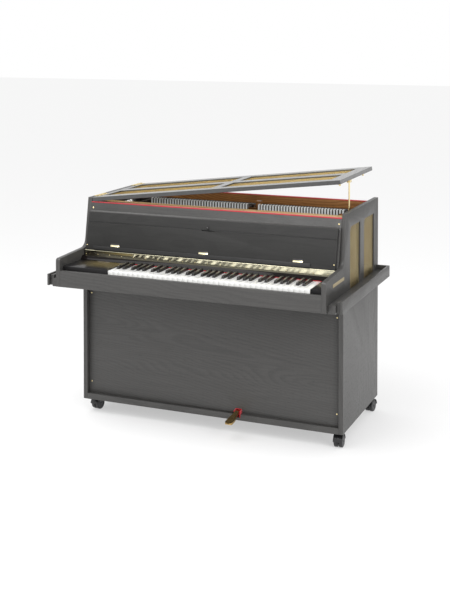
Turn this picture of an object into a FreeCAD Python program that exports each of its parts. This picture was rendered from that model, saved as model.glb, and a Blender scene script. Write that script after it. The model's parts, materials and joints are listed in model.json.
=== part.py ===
import FreeCAD, Part
import math
import os
import re
import Sketcher

# Celesta of five and a half octaves on four casters, in millimetres.
# X runs to the player's right, the player sits on the -Y side, Z is up.
# The origin lies on the floor under the middle of the case.

doc = FreeCAD.newDocument("Celesta")
V = FreeCAD.Vector

# Driving dimensions

SIZES = (
    # case
    ("case_width", 1234), ("case_depth", 558), ("case_top", 985), ("case_under", 66),
    ("side_board", 20), ("edge_round", 2),
    # arm and front line of the side boards
    ("arm_reach", 240), ("arm_under", 632), ("arm_tall", 124), ("root_tall", 135),
    ("arm_nose", 14), ("neck_foot", 13), ("neck_top", 49), ("neck_round", 42),
    # windows in the side boards
    ("window_front", 100), ("window_width", 157), ("window_second", 319), ("window_deep", 168),
    ("window_sill", 8), ("window_head", 63), ("window_corner", 25),
    ("grille_sheet", 1.2), ("grille_setback", 6),
    # base and panels
    ("bottom_board", 26), ("panel_setback", 20), ("panel_board", 18), ("back_board", 16), ("back_inset", 18),
    # keybed
    ("keybed_board", 38), ("keybed_front_board", 18), ("fascia_tall", 71),
    ("groove_rise", 58), ("groove_gap", 3), ("groove_deep", 6), ("groove_left", -80), ("groove_right", 96),
    ("groove_run", 11), ("keybed_wide_back", 90), ("keybed_neck_gap", 12),
    # keys
    ("white_pitch", 23.5), ("key_front", -211), ("key_stick", 24), ("lever_stick", 16),
    ("white_shown", 150), ("black_shown", 100), ("black_rise", 12), ("black_foot", 11), ("black_crown", 9.4),
    ("key_gap", 1.0), ("lever_play", 1.8), ("shear_start", 20), ("shear_end", 425), ("key_tail", 470),
    ("white_lip", 1.2), ("balance_y", 110), ("rail_width", 24), ("rail_high", 21.4), ("rail_clear", 0.6),
    ("bead_round", 6), ("bead_play", 0.2), ("front_rail_high", 10), ("back_rail_y", 455),
    # key blocks
    ("block_right", 53.5), ("block_rise", 3), ("block_front", -213), ("block_gap", 2),
    # nameboard and its rail
    ("name_foot", -61), ("name_lip", -43), ("name_gap", 3.5), ("name_slope", 15.5),
    ("rail_face", -25), ("rail_back", 30), ("rail_tall", 20.5), ("felt_sheet", 3),
    # fallboard
    ("pivot_y", -27.5), ("pivot_rise", 2), ("barrel", 5), ("strip_sheet", 2.5),
    ("fall_lean", 13.2), ("fall_board", 16), ("fall_start", 3.2), ("fall_leaf", 128),
    ("lip_leaf", 46), ("leaf_joint", 1), ("fall_gap", 7), ("notch_width", 58), ("notch_deep", 4),
    ("ledge_left_gap", 42), ("ledge_right_gap", 109), ("ledge_tall", 17), ("ledge_board", 6.5),
    ("ledge_play", 0.3),
    ("leaf_pin", 2.4), ("pin_bevel", 2), ("pin_deep", 0.6),
    ("butt_sheet", 1.3), ("butt_tall", 14), ("butt_knuckle", 3), ("butt_out", 1.8), ("butt_up", 24),
    ("butt_long", 43), ("butt_left_gap", 127), ("butt_shift", -8.5), ("butt_right_gap", 144),
    # upper front panel and inner rails
    ("panel_clear", 0.8), ("top_panel_board", 18), ("top_rail_tall", 56), ("top_rail_front", 38),
    ("top_rail_lean", 8), ("lid_board", 18),
    ("cover_back", 142), ("cover_drop", 23), ("cover_board", 12), ("back_rail_tall", 59),
    # lid
    ("lid_front", 47), ("lid_back_gap", 2), ("lid_gap", 1.5), ("lid_rise", 6.8),
    ("lid_left_stile", 30), ("lid_right_stile", 57), ("lid_cross_rib", 44), ("lid_front_rail", 62),
    ("lid_mid_rib", 66), ("lid_back_rail", 62), ("lid_grille_deep", 6),
    ("lid_hinge_one", 95), ("lid_hinge_two", 470), ("lid_hinge_long", 84), ("lid_knuckle", 5),
    ("knuckle_count", 5), ("knuckle_gap", 0.2), ("leaf_start", 3.2),
    ("lid_drop", 2.7), ("hinge_leaf", 1.6), ("hinge_leaf_wide", 17),
    ("pin_inset", 11), ("pin_one", 72), ("pin_two", 430), ("pin_round", 8), ("pin_long", 9),
    ("pin_hole_wide", 14),
    ("prop_y", 200), ("prop_inset", 7.5), ("prop_wide", 6.5), ("prop_drop", 55), ("prop_clear", 1.2),
    ("prop_pin", 3), ("cheek_gap", 5.5), ("cheek_sheet", 1.6), ("cheek_long", 28), ("cheek_tall", 11),
    ("foot_sheet", 1.2), ("foot_long", 8),
    # sound works
    ("note_lead", 57), ("note_pitch", 13.8), ("break_gap", 47.2), ("hammer_y", 330),
    ("hammer_wide", 9), ("hammer_deep", 16), ("hammer_drop", 29), ("hammer_tall", 27),
    ("hammer_pin_y", 405), ("hammer_pin_rise", 6), ("hammer_pin", 2.4), ("pin_play", 0.05),
    ("sticker_y", 460), ("sticker_wide", 4), ("sticker_clear", 0.6),
    ("box_front", 232), ("box_back", 448), ("box_clear", 12), ("box_drop", 80),
    ("plate_front", 240), ("plate_low_long", 150), ("plate_high_long", 100),
    ("plate_wide", 10), ("plate_sheet", 3), ("plate_rest", 2.4),
    ("cheek_board", 16), ("works_spare", 14), ("works_end", 10),
    ("damper_deep", 12), ("damper_tall", 12), ("damper_y", 245), ("damper_clear", 0.4),
    ("lift_rod", 8), ("lift_inset", 37),
    # pedal and trap lever
    ("pedal_x", 141), ("pedal_neck", 20), ("pedal_toe", 34), ("pedal_reach", 106), ("slot_width", 30),
    ("slot_sill", 12), ("slot_rise", 18), ("pin_block", 12), ("pedal_pin_y", 150), ("pin_drop", 1),
    ("pedal_pin", 8), ("pedal_back", 242), ("pedal_rise", 12), ("pedal_board", 13),
    ("trap_y", 300), ("trap_rise", 34), ("trap_shaft", 14), ("trap_arm", 14),
    ("trap_clear", 0.5), ("trap_reach", 230),
    # carrying handles
    ("batten_wide", 32), ("batten_drop", 6), ("batten_tall", 34), ("handle_gap", 50), ("handle_board", 10),
    ("handle_drop", 4), ("handle_tall", 50), ("handle_front", -213), ("handle_inset", 31), ("handle_end", 12),
    ("spacer_long", 40), ("spacer_tall", 24),
    # casters
    ("caster_side", 29), ("caster_front", 60), ("caster_inset", 48), ("wheel_wide", 15),
    ("wheel_round", 52), ("wheel_gap", 6), ("caster_trail", 18), ("hood_clear", 2), ("hood_sheet", 3),
    ("stem_round", 12), ("axle_round", 6), ("axle_play", 0.05), ("tyre_round", 2.5),
)

# Places that follow from the driving dimensions

PLACES = {
    "arm_tip": "arm_under + arm_tall",
    "arm_root": "arm_under + root_tall",
    "window_low": "arm_under + window_sill",
    "window_high": "case_top - window_head",
    "floor_top": "case_under + bottom_board",
    "keybed_front_top": "arm_under + fascia_tall",
    "groove_low": "arm_under + groove_rise",
    "keybed_back": "case_depth - back_inset",
    "key_under": "arm_under + keybed_board + rail_high + rail_clear",
    "key_top": "key_under + key_stick",
    "lever_top": "key_under + lever_stick",
    "key_left": "0.5 * case_width - side_board - block_right - block_gap - 39 * white_pitch",
    "block_top": "key_top + block_rise",
    "name_low": "key_top + name_gap",
    "name_step": "name_low + name_slope",
    "rail_top": "name_step + rail_tall",
    "pivot_z": "rail_top + pivot_rise",
    "fall_width": "case_width - 2 * side_board - 2 * fall_gap",
    "ledge_left": "ledge_left_gap - 0.5 * fall_width",
    "ledge_right": "0.5 * fall_width - ledge_right_gap",
    "top_rail_low": "case_top - top_rail_tall",
    "cover_top": "case_top - cover_drop",
    "back_rail_low": "case_top - back_rail_tall",
    "lid_back": "case_depth - lid_back_gap",
    "pin_along": "case_width - 2 * side_board - 2 * lid_gap - pin_inset",
    "prop_along": "case_width - 2 * side_board - lid_gap - prop_inset",
    "prop_foot": "case_top - prop_drop",
    "note_one": "key_left - note_lead",
    "note_break": "note_one + 36 * note_pitch + break_gap",
    "works_left": "note_one - works_spare",
    "works_right": "note_break + 30 * note_pitch + works_end",
    "hammer_top": "case_top - hammer_drop",
    "hammer_low": "hammer_top - hammer_tall",
    "hammer_pin_z": "hammer_low + hammer_pin_rise",
    "box_under": "key_top + box_clear",
    "box_top": "case_top - box_drop",
    "lift_x": "0.5 * case_width - side_board - lift_inset",
    "slot_floor": "case_under + slot_sill",
    "slot_top": "floor_top + slot_rise",
    "pedal_pin_z": "floor_top - pin_drop",
    "pedal_top": "floor_top + pedal_rise",
    "trap_z": "floor_top + trap_rise",
    "batten_low": "arm_under - batten_drop",
    "handle_low": "arm_under - handle_drop",
    "handle_back": "case_depth - handle_inset",
    "caster_x": "0.5 * case_width - caster_side",
    "caster_back": "case_depth - caster_inset",
}

sheet = doc.addObject("Spreadsheet::Sheet", "Dims")
for row, (alias, number) in enumerate(SIZES, start=1):
    sheet.set("A%d" % row, alias)
    sheet.set("B%d" % row, str(number))
    sheet.setAlias("B%d" % row, alias)
doc.recompute()
NAMES = set(alias for alias, number in SIZES)


def size(alias):
    """Number of a driving dimension, or of a place that follows from them."""
    if alias not in PLACES:
        return float(getattr(sheet, alias))
    terms = re.findall(r"([-+]?) ?(?:([\d.]+) \* )?([a-z_]+)", PLACES[alias])
    return sum((-1 if sign == "-" else 1) * float(factor or 1) * size(name) for sign, factor, name in terms)


def bound(text):
    """Expression text with every name pointed at the sheet, and every place written out."""
    def pointed(match):
        name = match.group()
        if name in PLACES:
            return "(" + bound(PLACES[name]) + ")"
        return "Dims." + name if name in NAMES else name
    return re.sub(r"[a-z_]+", pointed, text)


def plane(body, role):
    return [o for o in body.Origin.OriginFeatures if o.Role == role][0]


def outline(body, role, points, name):
    """Closed straight-sided sketch whose corners are bound to the sheet."""
    sketch = body.newObject("Sketcher::SketchObject", name)
    sketch.AttachmentSupport = [(plane(body, role), "")]
    sketch.MapMode = "FlatFace"
    count = len(points)
    start = [V(100 * math.cos(2 * math.pi * i / count) + 1, 100 * math.sin(2 * math.pi * i / count) + 2, 0)
             for i in range(count)]
    for i in range(count):
        sketch.addGeometry(Part.LineSegment(start[i], start[(i + 1) % count]), False)
    for i in range(count):
        sketch.addConstraint(Sketcher.Constraint("Coincident", i, 2, (i + 1) % count, 1))
    for i in range(count):
        for kind, value, text in (("DistanceX", start[i].x, points[i][0]), ("DistanceY", start[i].y, points[i][1])):
            number = sketch.addConstraint(Sketcher.Constraint(kind, i, 1, value))
            sketch.setExpression("Constraints[%d]" % number, bound(text))
    return sketch


def place(thing, x="0", y="0", z="0"):
    for axis, text in (("x", x), ("y", y), ("z", z)):
        thing.setExpression("Placement.Base." + axis, bound(text))


def slab(label, role, points, thick, at=("0", "0", "0")):
    """Board with a straight-sided outline, its body placed by expressions."""
    body = doc.addObject("PartDesign::Body", label)
    body.Label = label
    sketch = outline(body, role, points, label + "_outline")
    pad = body.newObject("PartDesign::Pad", label + "_pad")
    pad.Profile = sketch
    pad.setExpression("Length", bound(thick))
    place(body, *at)
    doc.recompute()
    return body


def cut_through(body, role, points, name, deep, back=False, both=False):
    """Pocket cut from an origin plane of the body."""
    before = body.Shape.Volume
    sketch = outline(body, role, points, name + "_outline")
    pocket = body.newObject("PartDesign::Pocket", name)
    pocket.Profile = sketch
    pocket.setExpression("Length", bound(deep))
    pocket.Reversed = back
    pocket.Midplane = both
    doc.recompute()
    if body.Shape.Volume >= before - 1e-3:
        pocket.Reversed = not back
        doc.recompute()
    return pocket


def round_edges(body, radius, wanted, name):
    """Fillet of the body's edges for which wanted(edge) holds."""
    base = body.Tip
    picked = ["Edge%d" % (i + 1) for i, edge in enumerate(base.Shape.Edges) if wanted(edge)]
    if not picked:
        raise ValueError("no edge found for " + name)
    fillet = body.newObject("PartDesign::Fillet", name)
    fillet.Base = (base, picked)
    fillet.setExpression("Radius", bound(radius))
    doc.recompute()
    return fillet


def runs(edge, axis):
    """True for a straight edge along the axis."""
    if edge.Curve.TypeId != "Part::GeomLine":
        return False
    return abs(abs(edge.Curve.Direction[axis]) - 1) < 1e-6


def near(edge, **where):
    """True where the middle of an edge lies at the given local coordinates."""
    middle = edge.valueAt((edge.FirstParameter + edge.LastParameter) / 2)
    return all(abs(getattr(middle, axis) - value) < 0.5 for axis, value in where.items())


def block(name, x, y, z):
    """Rectangular block between pairs of bound expressions."""
    thing = doc.addObject("Part::Box", name)
    for prop, pair in (("Length", x), ("Width", y), ("Height", z)):
        thing.setExpression(prop, bound("(%s) - (%s)" % (pair[1], pair[0])))
    place(thing, x[0], y[0], z[0])
    return thing


def rod(name, radius, length, at, along):
    """Round bar from a point along x, y or z."""
    turn = {"x": FreeCAD.Rotation(V(0, 1, 0), 90), "y": FreeCAD.Rotation(V(1, 0, 0), -90),
            "z": FreeCAD.Rotation()}
    thing = doc.addObject("Part::Cylinder", name)
    thing.setExpression("Radius", bound(radius))
    thing.setExpression("Height", bound(length))
    thing.Placement = FreeCAD.Placement(V(0, 0, 0), turn[along])
    place(thing, *at)
    return thing


def joined(label, parts):
    thing = doc.addObject("Part::MultiFuse", label)
    thing.Shapes = parts
    thing.Label = label
    return thing


def cut(label, base, tools):
    tool = tools[0]
    if len(tools) > 1:
        tool = joined(label + "_tools", tools)
    thing = doc.addObject("Part::Cut", label)
    thing.Base = base
    thing.Tool = tool
    thing.Label = label
    return thing


def together(label, parts):
    """Separate solids that share one node."""
    thing = doc.addObject("Part::Compound", label)
    thing.Links = parts
    thing.Label = label
    return thing


def shaped(label, solids, placement=None):
    """Node whose solids are computed from the sheet's values."""
    thing = doc.addObject("Part::Feature", label)
    thing.Label = label
    thing.Shape = solids[0] if len(solids) == 1 else Part.makeCompound(solids)
    if placement is not None:
        thing.Placement = placement
    return thing


def solid_box(x0, x1, y0, y1, z0, z1):
    return Part.makeBox(x1 - x0, y1 - y0, z1 - z0, V(x0, y0, z0))


def prism(points, direction):
    """Solid swept from a closed polygon along a direction."""
    wire = Part.makePolygon(list(points) + [points[0]])
    return Part.Face(wire).extrude(direction)


HALF = "case_width / 2"
INNER = "(case_width / 2 - side_board)"
inner = size("case_width") / 2 - size("side_board")

# Side boards: each one board with the arm, its front line curving up to the top, and two windows

FRONT_LINE = (
    ("panel_setback - panel_setback", "case_under"),
    ("panel_setback - panel_setback", "arm_under"),
    ("-arm_reach", "arm_under"),
    ("-arm_reach", "arm_tip"),
    ("neck_foot", "arm_root"),
    ("neck_top", "case_top"),
    ("case_depth", "case_top"),
    ("case_depth", "case_under"),
)


def window(first, width):
    return ((first, "window_low"), (first + " + " + width, "window_low"),
            (first + " + " + width, "window_high"), (first, "window_high"))


for side, sign in (("left", -1), ("right", 1)):
    start = "-" + HALF if sign < 0 else INNER
    board = slab("side_" + side, "YZ_Plane", FRONT_LINE, "side_board", (start, "0", "0"))
    for number, (first, width) in enumerate((("window_front", "window_width"), ("window_second", "window_deep"))):
        cut_through(board, "YZ_Plane", window(first, width), "window_%s_%d" % (side, number + 1),
                    "side_board * 2", both=True)
    round_edges(board, "neck_round", lambda e: runs(e, 0) and near(e, y=size("neck_foot"),
                                                                   z=size("arm_root")),
                "neck_%s" % side)
    round_edges(board, "arm_nose - 2", lambda e: runs(e, 0) and near(e, y=-size("arm_reach"),
                                                                     z=size("arm_tip")),
                "nose_%s" % side)
    round_edges(board, "window_corner",
                lambda e: runs(e, 0) and (near(e, y=size("window_front"), z=size("window_high"))
                                          or near(e, y=size("window_second"), z=size("window_high"))),
                "corner_%s" % side)

# Brass mesh in the side windows, four sheets a little inside the outer faces


def grille_panel(x, first, width):
    low, high, corner = size("window_low"), size("window_high"), size("window_corner")
    bow = corner * (1 - math.sqrt(0.5))
    a, b = V(x, first, low), V(x, first + width, low)
    c, d = V(x, first + width, high), V(x, first + corner, high)
    e = V(x, first, high - corner)
    arc = Part.Arc(d, V(x, first + bow, high - bow), e).toShape()
    edges = [Part.makeLine(a, b), Part.makeLine(b, c), Part.makeLine(c, d), arc, Part.makeLine(e, a)]
    return Part.Face(Part.Wire(edges)).extrude(V(size("grille_sheet"), 0, 0))


outer = size("case_width") / 2
grilles = []
for sign in (-1, 1):
    face = sign * (outer - size("grille_setback")) - (size("grille_sheet") if sign > 0 else 0)
    grilles.append(grille_panel(face, size("window_front"), size("window_width")))
    grilles.append(grille_panel(face, size("window_second"), size("window_deep")))
shaped("side_grilles", grilles)

# Bottom board: its front edge is the plinth, with a channel for the pedal and blocks for its pin

bottom = block("bottom_blank", ("-" + INNER, INNER), ("0", "case_depth"), ("case_under", "floor_top"))
channel = block("pedal_channel", ("pedal_x - slot_width / 2", "pedal_x + slot_width / 2"),
                ("-1", "pedal_back + 20"), ("slot_floor", "floor_top + 1"))
bore = rod("pedal_bore", "pedal_pin / 2 + axle_play", "slot_width + 2 * pin_block",
           ("pedal_x - slot_width / 2 - pin_block", "pedal_pin_y", "pedal_pin_z"), "x")
floor_parts = [cut("bottom_board_cut", bottom, [channel, bore])]
for side, x0 in (("left", "pedal_x - slot_width / 2 - pin_block"), ("right", "pedal_x + slot_width / 2")):
    blank = block("pin_block_blank_" + side, (x0, x0 + " + pin_block"),
                  ("pedal_pin_y - pin_block", "pedal_pin_y + pin_block"), ("floor_top", "pedal_pin_z + pin_block"))
    floor_parts.append(cut("pin_block_" + side, blank, [bore]))
together("bottom_board", floor_parts)

# Lower front panel with the pedal slot, and the back panel

panel = block("front_blank", ("-" + INNER, INNER), ("panel_setback", "panel_setback + panel_board"),
              ("floor_top", "arm_under"))
slot = block("panel_slot", ("pedal_x - slot_width / 2", "pedal_x + slot_width / 2"),
             ("panel_setback - 1", "panel_setback + panel_board + 1"), ("floor_top - 1", "slot_top"))
cut("front_panel", panel, [slot])

back = block("back_panel", ("-" + INNER, INNER), ("keybed_back", "keybed_back + back_board"),
             ("floor_top", "back_rail_low"))
back.Label = "back_panel"

# Keybed: wide between the arms, narrower behind so that the side windows stay clear

KEYBED_TOP = "(arm_under + keybed_board)"
FRONT_BACK = "(-arm_reach + keybed_front_board)"
keybed = slab("keybed_plank", "XY_Plane", (
    ("-" + INNER, FRONT_BACK), (INNER, FRONT_BACK), (INNER, "keybed_wide_back"),
    (INNER + " - keybed_neck_gap", "keybed_wide_back"), (INNER + " - keybed_neck_gap", "keybed_back"),
    ("-" + INNER + " + keybed_neck_gap", "keybed_back"),
    ("-" + INNER + " + keybed_neck_gap", "keybed_wide_back"), ("-" + INNER, "keybed_wide_back")),
    "keybed_board", ("0", "0", "arm_under"))
cut_through(keybed, "XY_Plane", (
    ("lift_x - lift_rod / 2 - 1", "damper_y - lift_rod / 2 - 1"),
    ("lift_x + lift_rod / 2 + 1", "damper_y - lift_rod / 2 - 1"),
    ("lift_x + lift_rod / 2 + 1", "damper_y + lift_rod / 2 + 1"),
    ("lift_x - lift_rod / 2 - 1",
     "damper_y + lift_rod / 2 + 1")), "rod_hole", "keybed_board * 2.5", both=True)

# Front board of the keybed: shadow grooves from both ends that turn up short of the middle

fascia = slab("keybed_fascia", "XZ_Plane", (
    ("-" + INNER, "arm_under"), (INNER, "arm_under"), (INNER, "keybed_front_top"),
    ("-" + INNER, "keybed_front_top")), "keybed_front_board", ("0", FRONT_BACK, "0"))
for side, sign, turn in (("left", "-", "groove_left"), ("right", "", "groove_right")):
    lean = "-" if side == "left" else "+"
    cut_through(fascia, "XZ_Plane", (
        ("%s(%s + 1)" % (sign, INNER), "groove_low"),
        ("%s %s groove_run" % (turn, lean), "groove_low"),
        (turn, "keybed_front_top + 1"),
        ("%s %s groove_gap" % (turn, lean), "keybed_front_top + 1"),
        ("%s %s groove_run %s groove_gap / 2" % (turn, lean, lean), "groove_low + groove_gap"),
        ("%s(%s + 1)" % (sign, INNER), "groove_low + groove_gap")),
        "groove_" + side, "groove_deep")
    # the groove is cut into the front face only
    pocket = fascia.Tip
    pocket.Profile[0].AttachmentOffset = FreeCAD.Placement(V(0, 0, size("keybed_front_board")),
                                                           FreeCAD.Rotation())
    pocket.Profile[0].setExpression("AttachmentOffset.Base.z", bound("keybed_front_board"))
    doc.recompute()
together("keybed", [keybed, fascia])

# Key blocks at both ends of the keyboard

KEY_END = "(key_left + 39 * white_pitch)"
blocks = []
for side, span in (("left", ("-" + INNER, "key_left - block_gap")), ("right", (KEY_END + " + block_gap", INNER))):
    blocks.append(block("block_" + side, span, ("block_front", "name_foot - 1"), (KEYBED_TOP, "block_top")))
together("key_blocks", blocks)

# Nameboard, one piece with the rail that carries the fallboard and the upper front panel

slab("nameboard", "YZ_Plane", (
    ("name_foot", "name_low"), ("rail_back", "name_low"), ("rail_back", "rail_top"), ("rail_face", "rail_top"),
    ("rail_face", "name_step"), ("name_lip", "name_step")), "2 * " + INNER, ("-" + INNER, "0", "0"))

# Long brass hinge strip: a polished plate with the barrel along its upper edge

strip = block("strip_plate", ("-fall_width / 2", "fall_width / 2"), ("rail_face - strip_sheet", "rail_face"),
              ("name_step", "pivot_z"))
barrel = rod("strip_barrel", "barrel / 2", "fall_width", ("-fall_width / 2", "pivot_y", "pivot_z"), "x")
hinge_strip = joined("hinge_strip", [strip, barrel])

# Fallboard, its lip and the music ledge. They are drawn along the leaf: first number outward from the
# face, second number up the leaf from the hinge, then turned back by the lean.

leaning = FreeCAD.Rotation(V(1, 0, 0), -size("fall_lean"))


def leaf(label, points, first, wide):
    body = slab(label, "YZ_Plane", points, wide)
    body.Placement = FreeCAD.Placement(V(0, 0, 0), leaning)
    place(body, first, "pivot_y", "pivot_z")
    doc.recompute()
    return body


fallboard = leaf("fallboard", (
    ("0", "fall_start"), ("fall_board", "fall_start"), ("fall_board", "fall_leaf"), ("pin_bevel", "fall_leaf"),
    ("0", "fall_leaf - pin_bevel")), "-fall_width / 2", "fall_width")
notch_mid = "fall_width / 2 + 4"
cut_through(fallboard, "XZ_Plane", (
    (notch_mid + " - notch_width / 2", "fall_leaf - notch_deep"),
    (notch_mid + " + notch_width / 2", "fall_leaf - notch_deep"),
    (notch_mid + " + notch_width / 2 + notch_deep", "fall_leaf + 1"),
    (notch_mid + " - notch_width / 2 - notch_deep", "fall_leaf + 1")), "finger_notch", "fall_board * 0.8")
lip = leaf("fallboard_lip", (
    ("pin_bevel", "fall_leaf + leaf_joint"), ("fall_board", "fall_leaf + leaf_joint"),
    ("fall_board", "fall_leaf + leaf_joint + lip_leaf"), ("0", "fall_leaf + leaf_joint + lip_leaf"),
    ("0", "fall_leaf + leaf_joint + pin_bevel")), "-fall_width / 2", "fall_width")
round_edges(lip, "edge_round * 2",
            lambda e: near(e, y=0, z=size("fall_leaf") + size("leaf_joint") + size("lip_leaf")), "lip_nose")
LEDGE_OUT = "-ledge_board - ledge_play"
leaf("music_ledge", (
    (LEDGE_OUT, "fall_start + 2"), ("-ledge_play", "fall_start + 2"),
    ("-ledge_play", "fall_start + 2 + ledge_tall"), (LEDGE_OUT, "fall_start + 2 + ledge_tall")),
    "ledge_left", "ledge_right - ledge_left")

# Hinges carried by the leaf: three butts over the music ledge, and the pin that the lip turns on


def on_leaf(solid):
    solid.Placement = FreeCAD.Placement(V(0, size("pivot_y"), size("pivot_z")), leaning)
    return solid


leaf_hinges = []
half_leaf = size("fall_width") / 2
for x0 in (size("butt_left_gap") - half_leaf, size("butt_shift") - size("butt_long") / 2,
           half_leaf - size("butt_right_gap") - size("butt_long")):
    x1 = x0 + size("butt_long")
    plate = solid_box(x0, x1, -size("butt_sheet"), 0, size("butt_up"), size("butt_up") + size("butt_tall"))
    knuckle = Part.makeCylinder(size("butt_knuckle") / 2, x1 - x0, V(x0, -size("butt_out"),
                                                                     size("butt_up")), V(1, 0, 0))
    leaf_hinges.append(on_leaf(plate.fuse(knuckle)))
lip_pin = Part.makeCylinder(size("leaf_pin") / 2, size("fall_width") - 2,
                            V(1 - size("fall_width") / 2, size("pin_deep"),
                              size("fall_leaf") + size("leaf_joint") / 2),
                            V(1, 0, 0))
shaped("leaf_hinges", leaf_hinges + [on_leaf(lip_pin)])

# Upper front panel: it leans behind the open fallboard and ends in the rail under the lid

LID_UNDER = "(case_top - lid_board)"
REST = "(case_top - lid_board - felt_sheet)"


def behind_leaf(height):
    """Front face of the panel at a height, a little behind the open fallboard."""
    return ("pivot_y + (fall_board + panel_clear) / cos(fall_lean) + (%s - pivot_z) * tan(fall_lean)" % height)


RAIL_BACK = "(top_rail_front + top_rail_lean + top_panel_board)"
LEAF_TOP = "(top_rail_low - 6)"
slab("upper_front_panel", "YZ_Plane", (
    (behind_leaf("rail_top"), "rail_top"), (behind_leaf("rail_top") + " + top_panel_board", "rail_top"),
    (RAIL_BACK, "top_rail_low"), (RAIL_BACK, REST), ("top_rail_front + top_rail_lean", REST),
    ("top_rail_front", "top_rail_low"), (behind_leaf(LEAF_TOP), LEAF_TOP)),
    "2 * " + INNER, ("-" + INNER, "0", "0"))

# Inside the top of the case: bare cover board in front, brown rail at the back

cover = block("cover_blank", ("-" + INNER, INNER), (RAIL_BACK, "cover_back"),
              ("cover_top - cover_board", "cover_top"))
pin_hole = rod("pin_hole", "pin_hole_wide / 2", "cover_board + 2",
               ("-" + INNER + " + lid_gap + pin_along", "pin_one", "cover_top - cover_board - 1"), "z")
cover_cut = cut("cover_board_cut", cover, [pin_hole])
back_rail = block("back_top_rail", ("-" + INNER, INNER), ("keybed_back - 2", "keybed_back + back_board"),
                  ("back_rail_low", REST))
together("inner_rails", [cover_cut, back_rail])

# Red felts: lid rests at front and back, strip over the key backs, lining of the pedal slot

felts = [
    block("rest_front", ("-" + INNER, INNER), ("top_rail_front + top_rail_lean", RAIL_BACK), (REST, LID_UNDER)),
    block("rest_back", ("-" + INNER, INNER), ("keybed_back - 2", "keybed_back + back_board"), (REST, LID_UNDER)),
    block("felt_keys", ("key_left", KEY_END), ("name_foot + 1", "name_foot + 21"), ("key_top + 0.7", "name_low")),
    block("felt_slot_top", ("pedal_x - slot_width / 2", "pedal_x + slot_width / 2"),
          ("panel_setback - 0.5", "panel_setback + panel_board"), ("slot_top - felt_sheet", "slot_top")),
]
for side, sign in (("left", "-"), ("right", "+")):
    edge = "pedal_x %s slot_width / 2" % sign
    span = (edge, edge + " + felt_sheet") if side == "left" else (edge + " - felt_sheet", edge)
    felts.append(block("felt_slot_" + side, span, ("0.5", "panel_setback + panel_board"),
                       ("slot_floor", "slot_top - felt_sheet")))
together("red_felts", felts)

# Lid: a frame of 2 by 2 windows hinged at its left end, propped open

LID_END = "(2 * " + INNER + " - lid_gap)"
LID_MID = "(" + INNER + ")"
lid_end = 2 * inner - size("lid_gap")
lid_turn = FreeCAD.Rotation(V(0, 1, 0), -size("lid_rise"))


def on_lid(thing):
    """Placement of a lid piece drawn flat: its top face at height 0, lid_drop under the hinge's axis."""
    thing.Placement = FreeCAD.Placement(V(0, 0, 0), lid_turn)
    place(thing, "-" + INNER + " + lid_drop * sin(lid_rise)", "0",
          "case_top + lid_drop - lid_drop * cos(lid_rise)")
    return thing


lid = slab("lid", "XY_Plane", (
    ("lid_gap", "lid_front"), (LID_END, "lid_front"), (LID_END, "lid_back"), ("lid_gap", "lid_back")), "lid_board")
lid.Group[-1].Reversed = True
SPANS_X = (("lid_gap + lid_left_stile", LID_MID + " - lid_cross_rib / 2"),
           (LID_MID + " + lid_cross_rib / 2", LID_END + " - lid_right_stile"))
HOLE_DEEP = "(lid_back - lid_front - lid_front_rail - lid_mid_rib - lid_back_rail) / 2"
SPANS_Y = (("lid_front + lid_front_rail", "lid_front + lid_front_rail + " + HOLE_DEEP),
           ("lid_back - lid_back_rail - " + HOLE_DEEP, "lid_back - lid_back_rail"))
doc.recompute()
for i, (x0, x1) in enumerate(SPANS_X):
    for j, (y0, y1) in enumerate(SPANS_Y):
        cut_through(lid, "XY_Plane", ((x0, y0), (x1, y0), (x1, y1), (x0, y1)), "lid_window_%d%d" % (i, j),
                    "lid_board * 2.5", both=True)
round_edges(lid, "edge_round", lambda e: (near(e, z=0) or near(e, z=-size("lid_board"))) and (
    near(e, y=size("lid_front")) or near(e, x=lid_end)), "lid_edges")
on_lid(lid)

hole_deep = (size("lid_back") - size("lid_front") - size("lid_front_rail") - size("lid_mid_rib")
             - size("lid_back_rail")) / 2

mesh = []
for x0, x1 in ((size("lid_gap") + size("lid_left_stile"), inner - size("lid_cross_rib") / 2),
               (inner + size("lid_cross_rib") / 2, lid_end - size("lid_right_stile"))):
    first = size("lid_front") + size("lid_front_rail")
    second = size("lid_back") - size("lid_back_rail") - hole_deep
    for y0 in (first, second):
        top = -size("lid_grille_deep")
        mesh.append(solid_box(x0, x1, y0, y0 + hole_deep, top - size("grille_sheet"), top))
lid_mesh = shaped("lid_mesh", mesh)
on_lid(lid_mesh)

# Lid hinges: a leaf on the side board's top edge, a leaf on the lid, and knuckles of both by turns


def knuckles(first, start, moving):
    """Knuckles of one leaf, with the tongues that join them to it, round the axis at x = start."""
    count = int(size("knuckle_count"))
    long = size("lid_hinge_long") / count
    gap, reach, thick = size("knuckle_gap"), size("leaf_start"), size("hinge_leaf")
    solids = []
    for n in range(1 if moving else 0, count, 2):
        y0 = size(first) + n * long + gap / 2
        low = gap / 2 if moving else 0
        side = (0, reach) if moving else (-reach, 0)
        solids.append(Part.makeCylinder(size("lid_knuckle") / 2, long - gap, V(start, y0, size("lid_drop")),
                                        V(0, 1, 0)))
        solids.append(solid_box(start + side[0], start + side[1], y0, y0 + long - gap, low, thick))
    return solids


fixed, moved = [], []
for first in ("lid_hinge_one", "lid_hinge_two"):
    y0, y1 = size(first), size(first) + size("lid_hinge_long")
    reach, wide, thick = size("leaf_start"), size("hinge_leaf_wide"), size("hinge_leaf")
    plate = solid_box(-inner - wide, -inner - reach, y0, y1, 0, thick).fuse(knuckles(first, -inner, False))
    plate.Placement = FreeCAD.Placement(V(0, 0, size("case_top")), FreeCAD.Rotation())
    fixed.append(plate.removeSplitter())
    moved.append(solid_box(reach, wide, y0, y1, 0, thick).fuse(knuckles(first, 0, True)).removeSplitter())
together("case_hinges", [hinge_strip, shaped("lid_hinge_leaves", fixed)])

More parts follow.
